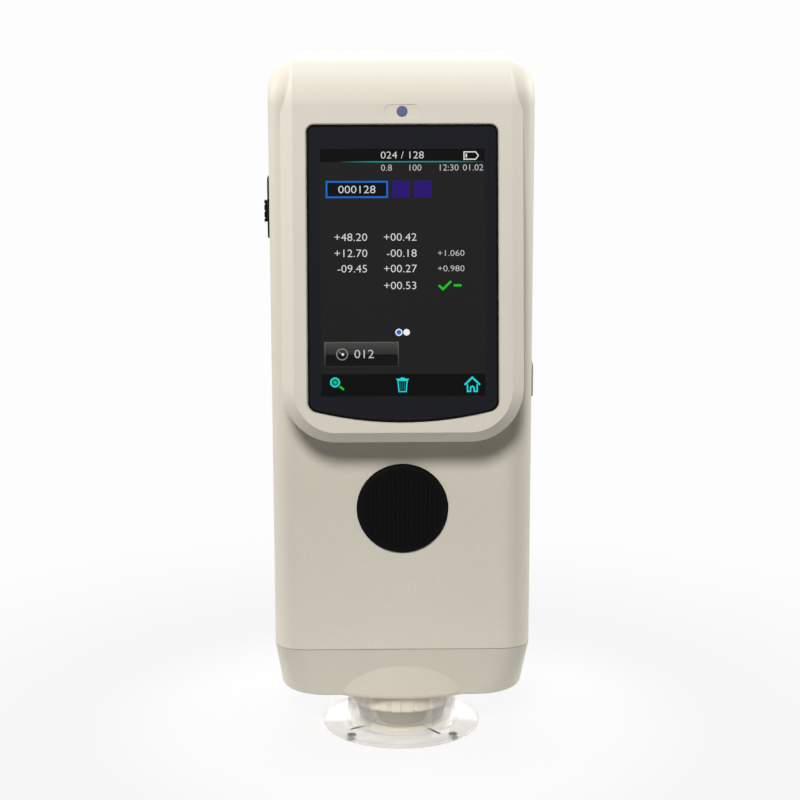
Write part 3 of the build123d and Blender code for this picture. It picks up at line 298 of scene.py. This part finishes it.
softRubber = {  # moulded TPE skin: dull, with a faint dusty sheen at grazing angles
    "base": "#BDB6A8",
    "drift": "#B4AC9D",
    "grain": 0.5,
    "grainDepth": 0.015,
    "roughness": 0.72,
    "sheen": 0.2,
}
padRubber = {  # filled rubber, die cut: mid grey and fully dull
    "base": "#716F6A",
    "drift": "#625F5B",
    "grain": 0.4,
    "grainDepth": 0.015,
    "roughness": 0.8,
    "sheen": 0.15,
}
domeSilicone = {  # moulded silicone rubber: milky and dull
    "base": "#B9B9B4",
    "drift": "#A9A9A4",
    "grain": 0.6,
    "grainDepth": 0.01,
    "roughness": 0.6,
    "sheen": 0.2,
}
tapeFilm = {  # acrylic tape: black, smooth and dull
    "base": "#1A1A1C",
    "drift": "#222224",
    "grain": 0.8,
    "grainDepth": 0.005,
    "roughness": 0.65,
    "sheen": 0.0,
}
flatCable = {  # polyimide flat cable: amber film over fine tracks
    "base": "#B4682A",
    "drift": "#9C531D",
    "grain": 0.7,
    "grainDepth": 0.01,
    "roughness": 0.4,
    "sheen": 0.0,
}
batteryWrap = {  # shrink film on the battery: smooth dark blue, slightly wavy
    "base": "#2F4463",
    "drift": "#283B57",
    "grain": 6.0,
    "grainDepth": 0.1,
    "roughness": 0.3,
    "sheen": 0.0,
}
sphereCoat = {  # sprayed barium sulphate coating: bright white and chalky
    "base": "#F4F3EF",
    "drift": "#ECEBE6",
    "grain": 0.4,
    "grainDepth": 0.02,
    "roughness": 0.95,
    "sheen": 0.0,
}


def rubber(name, look):
    material, tree, place = startMaterial(name)
    grain = add(tree, "TexNoise", {"Vector": place, "Scale": 1 / (look["grain"] * mm), "Detail": 3.0})
    tone = add(tree, "Mix", {0: grain.outputs[0], 6: linear(look["base"]), 7: linear(look["drift"])},
               data_type="RGBA")
    bump = add(tree, "Bump", {"Height": grain.outputs[0], "Distance": look["grainDepth"] * mm})
    shader = add(tree, "BsdfPrincipled", {"Base Color": tone.outputs[2], "Roughness": look["roughness"],
                                          "Normal": bump.outputs[0], "Sheen Weight": look["sheen"]})
    closeMaterial(tree, shader)
    return material


# Materials: glass and clear plastic

coverGlass = {  # back-painted, anti-glare coated glass: deep blue-black with a weak mirror
    "base": "#1A1B22",
    "drift": "#18191F",
    "roughness": (0.06, 0.1),
    "specular": 0.08,
    "smear": 18,  # mm, faint wiping marks in the gloss
}
lightGuide = {  # tinted polycarbonate light guide, unlit: deep blue with a soft gloss
    "base": "#1E3A72",
    "drift": "#2A4A86",
    "roughness": (0.25, 0.35),
    "specular": 0.35,
    "smear": 1.5,
}
clearAcrylic = {  # turned and polished acrylic: clear, bright at its edges
    "tint": "#FBFAF8",
    "roughness": (0.04, 0.12),
    "ior": 1.49,
    "haze": 4,  # mm
    "straight": 0.6,  # share of the light that goes straight through, so the thin walls stay pale
}
opticsGlass = {  # ground lens glass: clear with a sharp mirror
    "tint": "#F2F8F6",
    "roughness": (0.01, 0.02),
    "ior": 1.52,
    "haze": 5,
    "straight": 0.0,
}


def tintedGloss(name, look):
    material, tree, place = startMaterial(name)
    smear = add(tree, "TexNoise", {"Vector": place, "Scale": 1 / (look["smear"] * mm), "Detail": 3.0})
    tone = add(tree, "Mix", {0: smear.outputs[0], 6: linear(look["base"]), 7: linear(look["drift"])},
               data_type="RGBA")
    gloss = add(tree, "MapRange", {**noiseSpan, "Value": smear.outputs[0], "To Min": look["roughness"][0],
                                   "To Max": look["roughness"][1]})
    shader = add(tree, "BsdfPrincipled", {"Base Color": tone.outputs[2], "Roughness": gloss.outputs[0],
                                          "Specular IOR Level": look["specular"]})
    closeMaterial(tree, shader)
    return material


def clearPlastic(name, look):
    material, tree, place = startMaterial(name)
    haze = add(tree, "TexNoise", {"Vector": place, "Scale": 1 / (look["haze"] * mm), "Detail": 3.0})
    gloss = add(tree, "MapRange", {**noiseSpan, "Value": haze.outputs[0], "To Min": look["roughness"][0],
                                   "To Max": look["roughness"][1]})
    clear = add(tree, "BsdfPrincipled", {"Base Color": linear(look["tint"]), "Roughness": gloss.outputs[0],
                                         "IOR": look["ior"], "Transmission Weight": 1.0})
    shade = add(tree, "BsdfTransparent", {"Color": linear(look["tint"])})  # lets the lamps' light through
    shadowRay = add(tree, "LightPath").outputs["Is Shadow Ray"]
    share = add(tree, "Math", {0: shadowRay, 1: look["straight"]}, operation="MAXIMUM")
    mix = add(tree, "MixShader", {0: share.outputs[0], 1: clear.outputs[0], 2: shade.outputs[0]})
    closeMaterial(tree, mix)
    return material


# Materials: metals and boards. Marks and tracks are in millimetres

screwSteel = {  # zinc-plated steel: bright grey with fine turning marks
    "base": "#B9BCC0",
    "drift": "#A6A9AD",
    "marks": 0.5,
    "roughness": (0.25, 0.4),
}
pressedMetal = {  # tinned sheet steel: pale grey and slightly brushed
    "base": "#C3C5C6",
    "drift": "#B0B2B4",
    "marks": 0.8,
    "roughness": (0.3, 0.45),
}
contactBrass = {  # gold-flashed spring brass: warm and bright
    "base": "#D9B366",
    "drift": "#C9A052",
    "marks": 0.5,
    "roughness": (0.22, 0.35),
}
slitMetal = {  # blackened brass: dark and half dull
    "base": "#2B2A29",
    "drift": "#363433",
    "marks": 0.5,
    "roughness": (0.45, 0.6),
}
gratingMirror = {  # aluminised grating: a mirror with fine upright lines
    "base": "#DCE0E4",
    "drift": "#C9CED6",
    "marks": 0.3,
    "roughness": (0.08, 0.15),
}
solderMask = {  # green solder mask over copper: glossy, with faint darker tracks
    "base": "#1E5B36",
    "drift": "#174A2B",
    "track": 1.2,
    "roughness": 0.35,
}


def metal(name, look):
    material, tree, place = startMaterial(name)
    along = add(tree, "Mapping", {"Vector": place, "Scale": (1.0, 1.0, 0.15)})  # marks run upright
    marks = add(tree, "TexNoise", {"Vector": along.outputs[0], "Scale": 1 / (look["marks"] * mm),
                                   "Detail": 4.0})
    tone = add(tree, "Mix", {0: marks.outputs[0], 6: linear(look["base"]), 7: linear(look["drift"])},
               data_type="RGBA")
    gloss = add(tree, "MapRange", {**noiseSpan, "Value": marks.outputs[0], "To Min": look["roughness"][0],
                                   "To Max": look["roughness"][1]})
    shader = add(tree, "BsdfPrincipled", {"Base Color": tone.outputs[2], "Roughness": gloss.outputs[0],
                                          "Metallic": 1.0})
    closeMaterial(tree, shader)
    return material


def circuitBoard(name, look):
    material, tree, place = startMaterial(name)
    tracks = add(tree, "TexVoronoi", {"Vector": place, "Scale": 1 / (look["track"] * mm)},
                 distance="MANHATTAN")
    tone = add(tree, "Mix", {0: tracks.outputs["Distance"], 6: linear(look["base"]),
                             7: linear(look["drift"])}, data_type="RGBA")
    shader = add(tree, "BsdfPrincipled", {"Base Color": tone.outputs[2], "Roughness": look["roughness"]})
    closeMaterial(tree, shader)
    return material


finishes = {
    "case_plastic": mouldedPlastic("spark-eroded ABS", caseAbs),
    "black_plastic": mouldedPlastic("satin black ABS", blackAbs),
    "white_plastic": mouldedPlastic("smooth white ABS", whiteAbs),
    # the grey plastic's colour is darkened to paint the pale ring's shade on the nose cone
    "grey_plastic": mouldedPlastic("grey ABS darkened as painted shade", noseAbsPaintedShade),
    "grey_rubber": rubber("soft grey TPE", softRubber),
    "dark_rubber": rubber("dark rubber", padRubber),
    "silicone": rubber("silicone rubber", domeSilicone),
    "adhesive": rubber("acrylic tape", tapeFilm),
    "flat_cable": rubber("polyimide cable", flatCable),
    "battery_wrap": rubber("shrink film", batteryWrap),
    "sphere_white": rubber("white sphere coating", sphereCoat),
    "black_glass": tintedGloss("back-painted cover glass", coverGlass),
    "blue_lens": tintedGloss("tinted polycarbonate", lightGuide),
    "clear_plastic": clearPlastic("polished acrylic", clearAcrylic),
    "lens_glass": clearPlastic("lens glass", opticsGlass),
    "steel": metal("zinc-plated steel", screwSteel),
    "lcd_metal": metal("tinned sheet steel", pressedMetal),
    "contact_brass": metal("gold-flashed brass", contactBrass),
    "slit_metal": metal("blackened brass", slitMetal),
    "mirror_metal": metal("aluminised grating", gratingMirror),
    "green_board": circuitBoard("green solder mask", solderMask),
}
for row in frame["record"]["subparts"]:
    mesh = nodes[row["node"]].data
    mesh.materials.clear()
    mesh.materials.append(finishes[row["material_slot"]])
print("materials on", len(nodes), "nodes")


# Screen: thin lit shapes on the cover glass, laid out in the display's own dots, right and down from
# its top left corner. A box is given as left, top, width and height.

screen = {
    "dots": (320, 480),
    "pitch": 0.1518,  # mm from dot to dot
    "riseOfMiddle": 0.35,  # mm above the middle of the glass's straight sides
    "ink": 0.02,  # mm, thickness of each layer of artwork
    "digitShare": 0.63,  # height of a digit over the font's size
    "trim": 0.16,  # dots off each side of a stroke, as the display's own digits are thin
    "border": 0.6,  # mm, width of the black band along the glass's edge, painted shade of the gap round the glass
    "unlit": "#0D0D0D",  # what a lit dot would be without its light
    "fadesTo": "#1C2020",
    "darkRoughness": 0.08,
}


def facePlane(node):  # a node's flat front: its middle, and the directions right, up and outward
    mesh = nodes[node].data
    front = max((f for f in mesh.polygons if f.normal.y < -0.9), key=lambda f: f.area)
    out = front.normal.copy()
    right = Vector((1, 0, 0))
    up = out.cross(right).normalized()
    level = max(v.co.dot(out) for v in mesh.vertices)
    heights = [v.co.dot(up) for v in mesh.vertices]
    middle = up * (min(heights) + max(heights)) / 2 + out * level
    return middle, right, up, out


glassMiddle, glassRight, glassUp, glassOut = facePlane("display_glass")
print("glass middle", tuple(round(c / mm, 3) for c in glassMiddle),
      "outward", tuple(round(c, 4) for c in glassOut))


def screenPlace(layer):  # matrix from dots to the frame, raised by some layers of artwork
    pitch = screen["pitch"] * mm
    wide, high = screen["dots"]
    rise = screen["riseOfMiddle"] * mm + high * pitch / 2
    corner = glassMiddle + glassUp * rise - glassRight * wide * pitch / 2
    corner = corner + glassOut * layer * screen["ink"] * mm
    place = Matrix.Identity(4)
    for i, axis in enumerate((glassRight * pitch, glassUp * pitch, glassOut)):
        place.col[i] = axis.to_4d()
        place[3][i] = 0
    place.translation = corner
    return place


def litInk(name, hexColour, strength, fade=None):  # a lit colour, with the glass's weak mirror
    material, tree, place = startMaterial(name)
    smear = add(tree, "TexNoise", {"Vector": place, "Scale": 1 / (coverGlass["smear"] * mm), "Detail": 3.0})
    gloss = add(tree, "MapRange", {**noiseSpan, "Value": smear.outputs[0],
                                   "To Min": coverGlass["roughness"][0],
                                   "To Max": coverGlass["roughness"][1]})
    glow = linear(hexColour)
    if fade:  # dots from the left: nothing, full, full and nothing again
        along = add(tree, "SeparateXYZ", {0: place}).outputs[0]
        left = [(screenPlace(0) @ Vector((dots, 0, 0))).x for dots in fade]
        rise = add(tree, "MapRange", {"Value": along, "From Min": left[0], "From Max": left[1]})
        fall = add(tree, "MapRange", {"Value": along, "From Min": left[3], "From Max": left[2]})
        share = add(tree, "Math", {0: rise.outputs[0], 1: fall.outputs[0]}, operation="MULTIPLY")
        glow = add(tree, "Mix", {0: share.outputs[0], 6: linear(screen["fadesTo"]), 7: glow},
                   data_type="RGBA").outputs[2]
    shader = add(tree, "BsdfPrincipled", {"Base Color": linear(screen["unlit"]),
                                          "Roughness": gloss.outputs[0],
                                          "Specular IOR Level": coverGlass["specular"],
                                          "Emission Color": glow, "Emission Strength": strength})
    closeMaterial(tree, shader)
    return material


def darkInk(name, topHex, bottomHex, top=0, bottom=480):  # a dark area, shaded between two heights in dots
    material, tree, place = startMaterial(name)
    height = add(tree, "SeparateXYZ", {0: place})
    low = (screenPlace(0) @ Vector((0, -bottom, 0))).z
    high = (screenPlace(0) @ Vector((0, -top, 0))).z
    share = add(tree, "MapRange", {"Value": height.outputs[2], "From Min": low, "From Max": high})
    tone = add(tree, "Mix", {0: share.outputs[0], 6: linear(bottomHex), 7: linear(topHex)},
               data_type="RGBA")
    shader = add(tree, "BsdfPrincipled", {"Base Color": tone.outputs[2],
                                          "Roughness": screen["darkRoughness"],
                                          "Specular IOR Level": coverGlass["specular"]})
    closeMaterial(tree, shader)
    return material


inks = {
    "white": litInk("lit white", "#F4F4F4", 0.95),
    "digits": litInk("lit pale grey", "#DCDCDC", 0.95),
    "small": litInk("lit grey", "#C8CACA", 0.95),
    "dim": litInk("lit dim grey", "#8C908C", 0.9),
    "cyan": litInk("lit cyan", "#10DCE0", 0.95),
    "deepCyan": litInk("lit deep cyan", "#0B6E74", 0.9),
    "teal": litInk("lit teal", "#169A9A", 0.9, (40, 110, 250, 318)),
    "blue": litInk("lit blue", "#006EDA", 0.95),
    "green": litInk("lit green", "#12C812", 0.95),
    "purple": litInk("lit purple", "#260370", 1.0),
    "ground": darkInk("display ground", "#1F1F1F", "#1E1E1E"),
    "bar": darkInk("display bar", "#060606", "#040404"),
    "hollow": darkInk("box ground", "#08090C", "#08090C"),
    "buttonTop": darkInk("button upper half", "#474B47", "#2B2D2B", 376, 399),
    "buttonLow": darkInk("button lower half", "#090A09", "#101110", 399, 422),
    "buttonRim": darkInk("button rim", "#666A66", "#2A2C2A", 374, 424),
    # near-black ink for the band at the glass's edge: painted shade of the gap round the glass
    "edge": darkInk("painted gap shade", "#010101", "#010101"),
}


def rectangle(x, y, wide, high):
    return [(x, y), (x + wide, y), (x + wide, y + high), (x, y + high)]


def frameOf(x, y, wide, high, line):
    inner = rectangle(x + line, y + line, wide - 2 * line, high - 2 * line)
    return [rectangle(x, y, wide, high), inner]


def circles(middle, *radii, points=28):
    turn = [2 * math.pi * i / points for i in range(points)]
    return [[(middle[0] + radius * math.cos(a), middle[1] + radius * math.sin(a)) for a in turn]
            for radius in radii]


def strip(points, wide):  # outline of a line of the given width through the points
    sides = ([], [])
    for i, point in enumerate(points):
        before, after = points[max(i - 1, 0)], points[min(i + 1, len(points) - 1)]
        along = [Vector(b) - Vector(a) for a, b in ((before, point), (point, after)) if a != b]
        normals = [Vector((-run.y, run.x)).normalized() for run in along]
        normal = sum(normals, Vector((0, 0))).normalized()
        reach = wide / 2 / normal.dot(normals[0])
        for side, sign in zip(sides, (1, -1)):
            side.append(tuple(Vector(point) + normal * reach * sign))
    return sides[0] + sides[1][::-1]


def toMesh(curve, name):
    carrier = bpy.data.objects.new(name, curve)
    bpy.context.scene.collection.objects.link(carrier)
    shown = carrier.evaluated_get(bpy.context.evaluated_depsgraph_get())
    mesh = bpy.data.meshes.new_from_object(shown)
    bpy.data.objects.remove(carrier)
    bpy.data.curves.remove(curve)
    return mesh


def rideOnGlass(mesh, ink):
    mesh.materials.clear()
    mesh.materials.append(inks[ink])
    piece = bpy.data.objects.new(mesh.name, mesh)
    bpy.context.scene.collection.objects.link(piece)
    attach(piece, "case")


def onScreen(name, mesh, ink, layer):  # a mesh drawn in dots becomes a piece on the glass
    mesh.name = name
    mesh.transform(screenPlace(layer))
    rideOnGlass(mesh, ink)


def drawShape(name, ink, layer, loops):  # loops inside loops are holes
    curve = bpy.data.curves.new(name, "CURVE")
    curve.dimensions = "2D"
    curve.fill_mode = "BOTH"
    curve.extrude = screen["ink"] * mm / 2
    for loop in loops:
        spline = curve.splines.new("POLY")
        spline.points.add(len(loop) - 1)
        for point, (x, y) in zip(spline.points, loop):
            point.co = (x, -y, 0, 1)
        spline.use_cyclic_u = True
    onScreen(name, toMesh(curve, name), ink, layer + 0.5)


def drawNumber(name, ink, layer, text, x, y, high, align="LEFT", stretch=1.12):  # y is the digits' middle
    curve = bpy.data.curves.new(name, "FONT")
    curve.body = text
    curve.align_x = align
    curve.resolution_u = 3
    curve.extrude = 0
    curve.offset = -screen["trim"]
    curve.size = high / screen["digitShare"]
    mesh = toMesh(curve, name)
    mesh.transform(Matrix.Translation((x, -y - high / 2, 0)) @ Matrix.Diagonal((stretch, 1, 1, 1)))
    onScreen(name, mesh, ink, layer + 1)


header = {  # dark bar with a count and a battery, a teal line, and a row of small numbers
    "bar": (0, 0, 320, 25),
    "line": (40, 24, 278, 2.2),
    "title": {"text": "024 / 128", "x": 160, "y": 12.5, "high": 12.5, "align": "CENTER"},
    "battery": [(279, 5.5), (303, 5.5), (309, 13.5), (303, 21.5), (279, 21.5)],
    "batteryHole": [(280.8, 7.3), (302.1, 7.3), (306.8, 13.5), (302.1, 19.7), (280.8, 19.7)],
    "charge": (283, 9.8, 2.6, 7.4),
    "small": {"0.8": 118, "100": 170, "12:30": 229, "01.02": 277},  # each with its left edge
    "smallRow": {"y": 37, "high": 11, "stretch": 1.06},
}


def drawHeader(look):
    drawShape("screenTitleBar", "bar", 1, [rectangle(*look["bar"])])
    drawShape("screenTitleLine", "teal", 2, [rectangle(*look["line"])])
    drawNumber("screenTitle", "digits", 2, **look["title"])
    drawShape("screenBattery", "white", 2, [look["battery"], look["batteryHole"]])
    drawShape("screenCharge", "white", 2, [rectangle(*look["charge"])])
    for i, (text, x) in enumerate(look["small"].items()):
        drawNumber(f"screenSmall{i}", "small", 2, text, x, **look["smallRow"])


readings = {  # framed sample count, two colour swatches, and columns of numbers
    "box": (11, 62, 121, 33),
    "boxLine": 3.2,
    "count": {"text": "000128", "x": 71.5, "y": 79, "high": 13.5, "align": "CENTER", "stretch": 1.15},
    "swatches": ((140, 62, 34, 33), (182, 62, 34, 33)),
    "rows": (171.5, 202.7, 232.6, 265.5),  # middles of the rows
    "values": ("+48.20", "+12.70", "-09.45"),
    "valueColumn": {"x": 92, "high": 13.5, "align": "RIGHT", "stretch": 1.1},
    "changes": ("+00.42", "-00.18", "+00.27", "+00.53"),
    "changeColumn": {"x": 188, "high": 13.5, "align": "RIGHT", "stretch": 1.1},
    "notes": ("+1.060", "+0.980"),  # from the second row down
    "noteColumn": {"x": 227, "high": 10.5, "stretch": 1.15},
    "tick": [(230, 265), (238, 272.5), (254, 257)],
    "tickLine": 4.2,
    "dash": (259, 263, 15, 4.2),
}


def drawReadings(look):
    rows = look["rows"]
    drawShape("screenBoxGround", "hollow", 1, [rectangle(*look["box"])])
    drawShape("screenBox", "blue", 2, frameOf(*look["box"], look["boxLine"]))
    drawNumber("screenCount", "digits", 2, **look["count"])
    for i, swatch in enumerate(look["swatches"]):
        drawShape(f"screenSwatch{i}", "purple", 1, [rectangle(*swatch)])
    for i, text in enumerate(look["values"]):
        drawNumber(f"screenValue{i}", "digits", 2, text, y=rows[i], **look["valueColumn"])
    for i, text in enumerate(look["changes"]):
        drawNumber(f"screenChange{i}", "digits", 2, text, y=rows[i], **look["changeColumn"])
    for i, text in enumerate(look["notes"]):
        drawNumber(f"screenNote{i}", "small", 2, text, y=rows[i + 1], **look["noteColumn"])
    drawShape("screenTick", "green", 2, [strip(look["tick"], look["tickLine"])])
    drawShape("screenBar", "green", 2, [rectangle(*look["dash"])])


screenButton = {  # two page dots, and a button with a small dial and a count
    "page": (151.8, 356),  # middle of the ringed dot
    "pageRing": (7.0, 4.8),  # outer and inner radius
    "pageDot": 4.6,
    "nextPage": (166.8, 356),
    "nextDot": 6.4,
    "rim": (6.5, 374.5, 145, 48.5),
    "upperHalf": (8.5, 376, 141, 23),
    "lowerHalf": (8.5, 399, 141, 22.5),
    "dial": (41, 398.5),
    "dialRing": (11.6, 9.6),
    "dialPin": [(42.5, 395.5), (45.5, 398.5), (42.5, 401.8), (39.5, 398.5)],
    "dialHand": [(35, 393), (40, 397.5)],
    "handLine": 1.4,
    "count": {"text": "012", "x": 64, "y": 398.5, "high": 15},
}


def drawButton(look):
    drawShape("screenPage0", "white", 2, circles(look["page"], *look["pageRing"]))
    drawShape("screenPage0Dot", "blue", 2, circles(look["page"], look["pageDot"]))
    drawShape("screenPage1", "white", 2, circles(look["nextPage"], look["nextDot"]))
    drawShape("screenButtonRim", "buttonRim", 1, [rectangle(*look["rim"])])
    drawShape("screenButtonTop", "buttonTop", 2, [rectangle(*look["upperHalf"])])
    drawShape("screenButtonLow", "buttonLow", 2, [rectangle(*look["lowerHalf"])])
    drawShape("screenButtonRing", "dim", 3, circles(look["dial"], *look["dialRing"]))
    drawShape("screenButtonDot", "white", 3, [look["dialPin"]])
    drawShape("screenButtonHand", "dim", 3, [strip(look["dialHand"], look["handLine"])])
    drawNumber("screenButtonCount", "small", 3, **look["count"])


toolBar = {  # dark bar with a loupe, a bin and a house
    "bar": (0, 437, 320, 43),
    "loupe": (27, 453),
    "loupeRadii": (9.8, 6.8, 3.0),  # of the rim, the glass and the dot in it
    "handle": [(36, 461), (44, 467)],
    "handleLine": 4,
    "lid": [(145.5, 446), (152, 446.5), (158.5, 443.3), (165, 446.5), (171.5, 446), (168, 451), (149, 451)],
    "bin": [(149.5, 450), (151.5, 471.5), (165.5, 471.5), (167.5, 450)],
    "binLine": 2.2,
    "binRib": (153.8, 453.5, 2.0, 15),
    "binRibs": 3,
    "ribPitch": 3.7,
    "roof": [(279.5, 459), (294.5, 444.5), (309.5, 459)],
    "roofLine": 3.5,
    "walls": [(285, 458), (285, 471.8), (291, 471.8), (291, 464), (294.5, 461.5), (298, 464), (298, 471.8),
              (304, 471.8), (304, 458)],
    "wallLine": 2.7,
}


def drawToolBar(look):
    rim, glass, dot = look["loupeRadii"]
    drawShape("screenToolBar", "bar", 1, [rectangle(*look["bar"])])
    drawShape("screenLoupe", "cyan", 2, circles(look["loupe"], rim, glass))
    drawShape("screenLoupeGlass", "deepCyan", 2, circles(look["loupe"], glass, dot))
    drawShape("screenLoupeDot", "green", 2, circles(look["loupe"], dot))
    drawShape("screenLoupeHandle", "green", 2, [strip(look["handle"], look["handleLine"])])
    drawShape("screenBinLid", "cyan", 2, [look["lid"]])
    drawShape("screenBin", "cyan", 2, [strip(look["bin"], look["binLine"])])
    left, *rest = look["binRib"]
    for i in range(look["binRibs"]):
        drawShape(f"screenBinRib{i}", "deepCyan", 2, [rectangle(left + look["ribPitch"] * i, *rest)])
    drawShape("screenHouseRoof", "cyan", 2, [strip(look["roof"], look["roofLine"])])
    drawShape("screenHouse", "cyan", 2, [strip(look["walls"], look["wallLine"])])


def drawGapShade():  # a black band along the glass's edge, painted as the shade of the gap round the glass
    shape = bmesh.new()
    shape.from_mesh(nodes["display_glass"].data)
    level = glassMiddle.dot(glassOut)
    flat = 0.01 * mm  # how far from its plane the glass's front may lie
    inner = [f for f in shape.faces if any(abs(v.co.dot(glassOut) - level) > flat for v in f.verts)]
    bmesh.ops.delete(shape, geom=inner, context="FACES")
    front = bmesh.ops.dissolve_faces(shape, faces=shape.faces[:])["region"]
    rim = bmesh.ops.inset_region(shape, faces=front, thickness=screen["border"] * mm,
                                 use_even_offset=True, use_boundary=True)["faces"]
    bmesh.ops.delete(shape, geom=[f for f in shape.faces if f not in rim], context="FACES")
    raised = bmesh.ops.extrude_face_region(shape, geom=shape.faces[:])["geom"]
    corners = [v for v in raised if isinstance(v, bmesh.types.BMVert)]
    bmesh.ops.translate(shape, verts=corners, vec=glassOut * screen["ink"] * mm)
    bmesh.ops.recalc_face_normals(shape, faces=shape.faces[:])
    mesh = bpy.data.meshes.new("glassGapShade")
    shape.to_mesh(mesh)
    shape.free()
    rideOnGlass(mesh, "edge")


drawShape("screenGround", "ground", 0, [rectangle(0, 0, *screen["dots"])])
drawHeader(header)
drawReadings(readings)
drawButton(screenButton)
drawToolBar(toolBar)
drawGapShade()
print("screen drawn")


# Printed marks on the clear locating plate: fine lines that cross at the measuring spot

plateMarks = {
    "lines": 4,
    "turn": 36.0,  # degrees from +X to the first line
    "inner": 12.3,  # mm from the centre
    "outer": 20.4,
    "width": 0.8,
    "ink": 0.03,
    "top": 1.5,  # mm, the plate's upper face
}
markInk = {  # screen-printed black ink: flat and dull
    "base": "#101010",
    "drift": "#1C1C1C",
    "patch": 1.5,  # mm
    "roughness": 0.6,
}


def printedInk(name, look):
    material, tree, place = startMaterial(name)
    patch = add(tree, "TexNoise", {"Vector": place, "Scale": 1 / (look["patch"] * mm), "Detail": 3.0})
    tone = add(tree, "Mix", {0: patch.outputs[0], 6: linear(look["base"]), 7: linear(look["drift"])},
               data_type="RGBA")
    shader = add(tree, "BsdfPrincipled", {"Base Color": tone.outputs[2], "Roughness": look["roughness"]})
    closeMaterial(tree, shader)
    return material


def printMarks(look):
    mesh = bpy.data.meshes.new("plateMarks")
    marks = bmesh.new()
    half, inner, outer = look["width"] / 2, look["inner"], look["outer"]
    for i in range(look["lines"]):
        angle = math.radians(look["turn"] + 360 / look["lines"] * i)
        along = Vector((math.cos(angle), math.sin(angle), 0))
        across = Vector((-along.y, along.x, 0))
        corners = [(along * reach + across * side) * mm
                   for reach, side in ((inner, -half), (outer, -half), (outer, half), (inner, half))]
        low, high = [[marks.verts.new(c + Vector((0, 0, level * mm))) for c in corners]
                     for level in (look["top"], look["top"] + look["ink"])]
        marks.faces.new(low[::-1])
        marks.faces.new(high)
        for j in range(4):
            k = (j + 1) % 4
            marks.faces.new((low[j], low[k], high[k], high[j]))
    marks.to_mesh(mesh)
    marks.free()
    mesh.materials.append(printedInk("printed black ink", markInk))
    piece = bpy.data.objects.new("plateMarks", mesh)
    bpy.context.scene.collection.objects.link(piece)
    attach(piece, "locating_plate")


printMarks(plateMarks)
print("plate marks printed")


# The silicone dome behind the button: a thick foot and collar, and a thin web between them. It is built at
# rest; the real web folds as the button goes in

returnDome = {  # in mm
    "foot": 8.0,  # outer radius on the key board
    "collar": 5.0,  # outer radius against the cap
    "thick": 1.6,  # wall of the foot and the collar
    "web": 0.8,  # wall between them
    "footHigh": 0.7,
    "collarHigh": 0.6,
    "ledge": 0.5,  # step in from the foot to the web
    "ledgeHigh": 0.3,
    "bevel": 0.1,
    "travel": 0.8,  # how far the button presses it
    "steps": 64,
}


def makeDome(look):
    front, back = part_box("button_return_dome")
    middle = (front + back) / 2
    high = (back.y - front.y) / mm
    foot, collar, thick, web = look["foot"], look["collar"], look["thick"], look["web"]
    footHigh, ledge, bevel = look["footHigh"], look["ledge"], look["bevel"]
    collarLow = high - look["collarHigh"]
    outline = [(0, foot), (footHigh, foot), (footHigh + look["ledgeHigh"], foot - ledge),
               (collarLow - bevel, collar), (high - bevel, collar), (high, collar - bevel),
               (high, collar - thick), (collarLow, collar - thick), (collarLow - 2 * bevel, collar - web),
               (footHigh, foot - ledge - web), (footHigh - 2 * bevel, foot - thick), (0, foot - thick)]
    mesh = bpy.data.meshes.new("returnDome")
    dome = bmesh.new()
    rings = []
    for i in range(look["steps"]):
        angle = 2 * math.pi * i / look["steps"]
        out = Vector((math.cos(angle), 0, math.sin(angle))) * mm
        rings.append([dome.verts.new(Vector((middle.x, back.y - rise * mm, middle.z)) + out * radius)
                      for rise, radius in outline])
    for ring, after in zip(rings, rings[1:] + rings[:1]):
        for j in range(len(outline)):
            k = (j + 1) % len(outline)
            dome.faces.new((ring[j], ring[k], after[k], after[j]))
    bmesh.ops.recalc_face_normals(dome, faces=dome.faces[:])
    dome.to_mesh(mesh)
    dome.free()
    mesh.materials.append(finishes["silicone"])
    piece = bpy.data.objects.new("returnDome", mesh)
    bpy.context.scene.collection.objects.link(piece)
    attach(piece, "case")
    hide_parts("button_return_dome")
    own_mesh(piece)


makeDome(returnDome)
print("return dome made")

bpy.context.scene.view_settings.view_transform = "Standard"
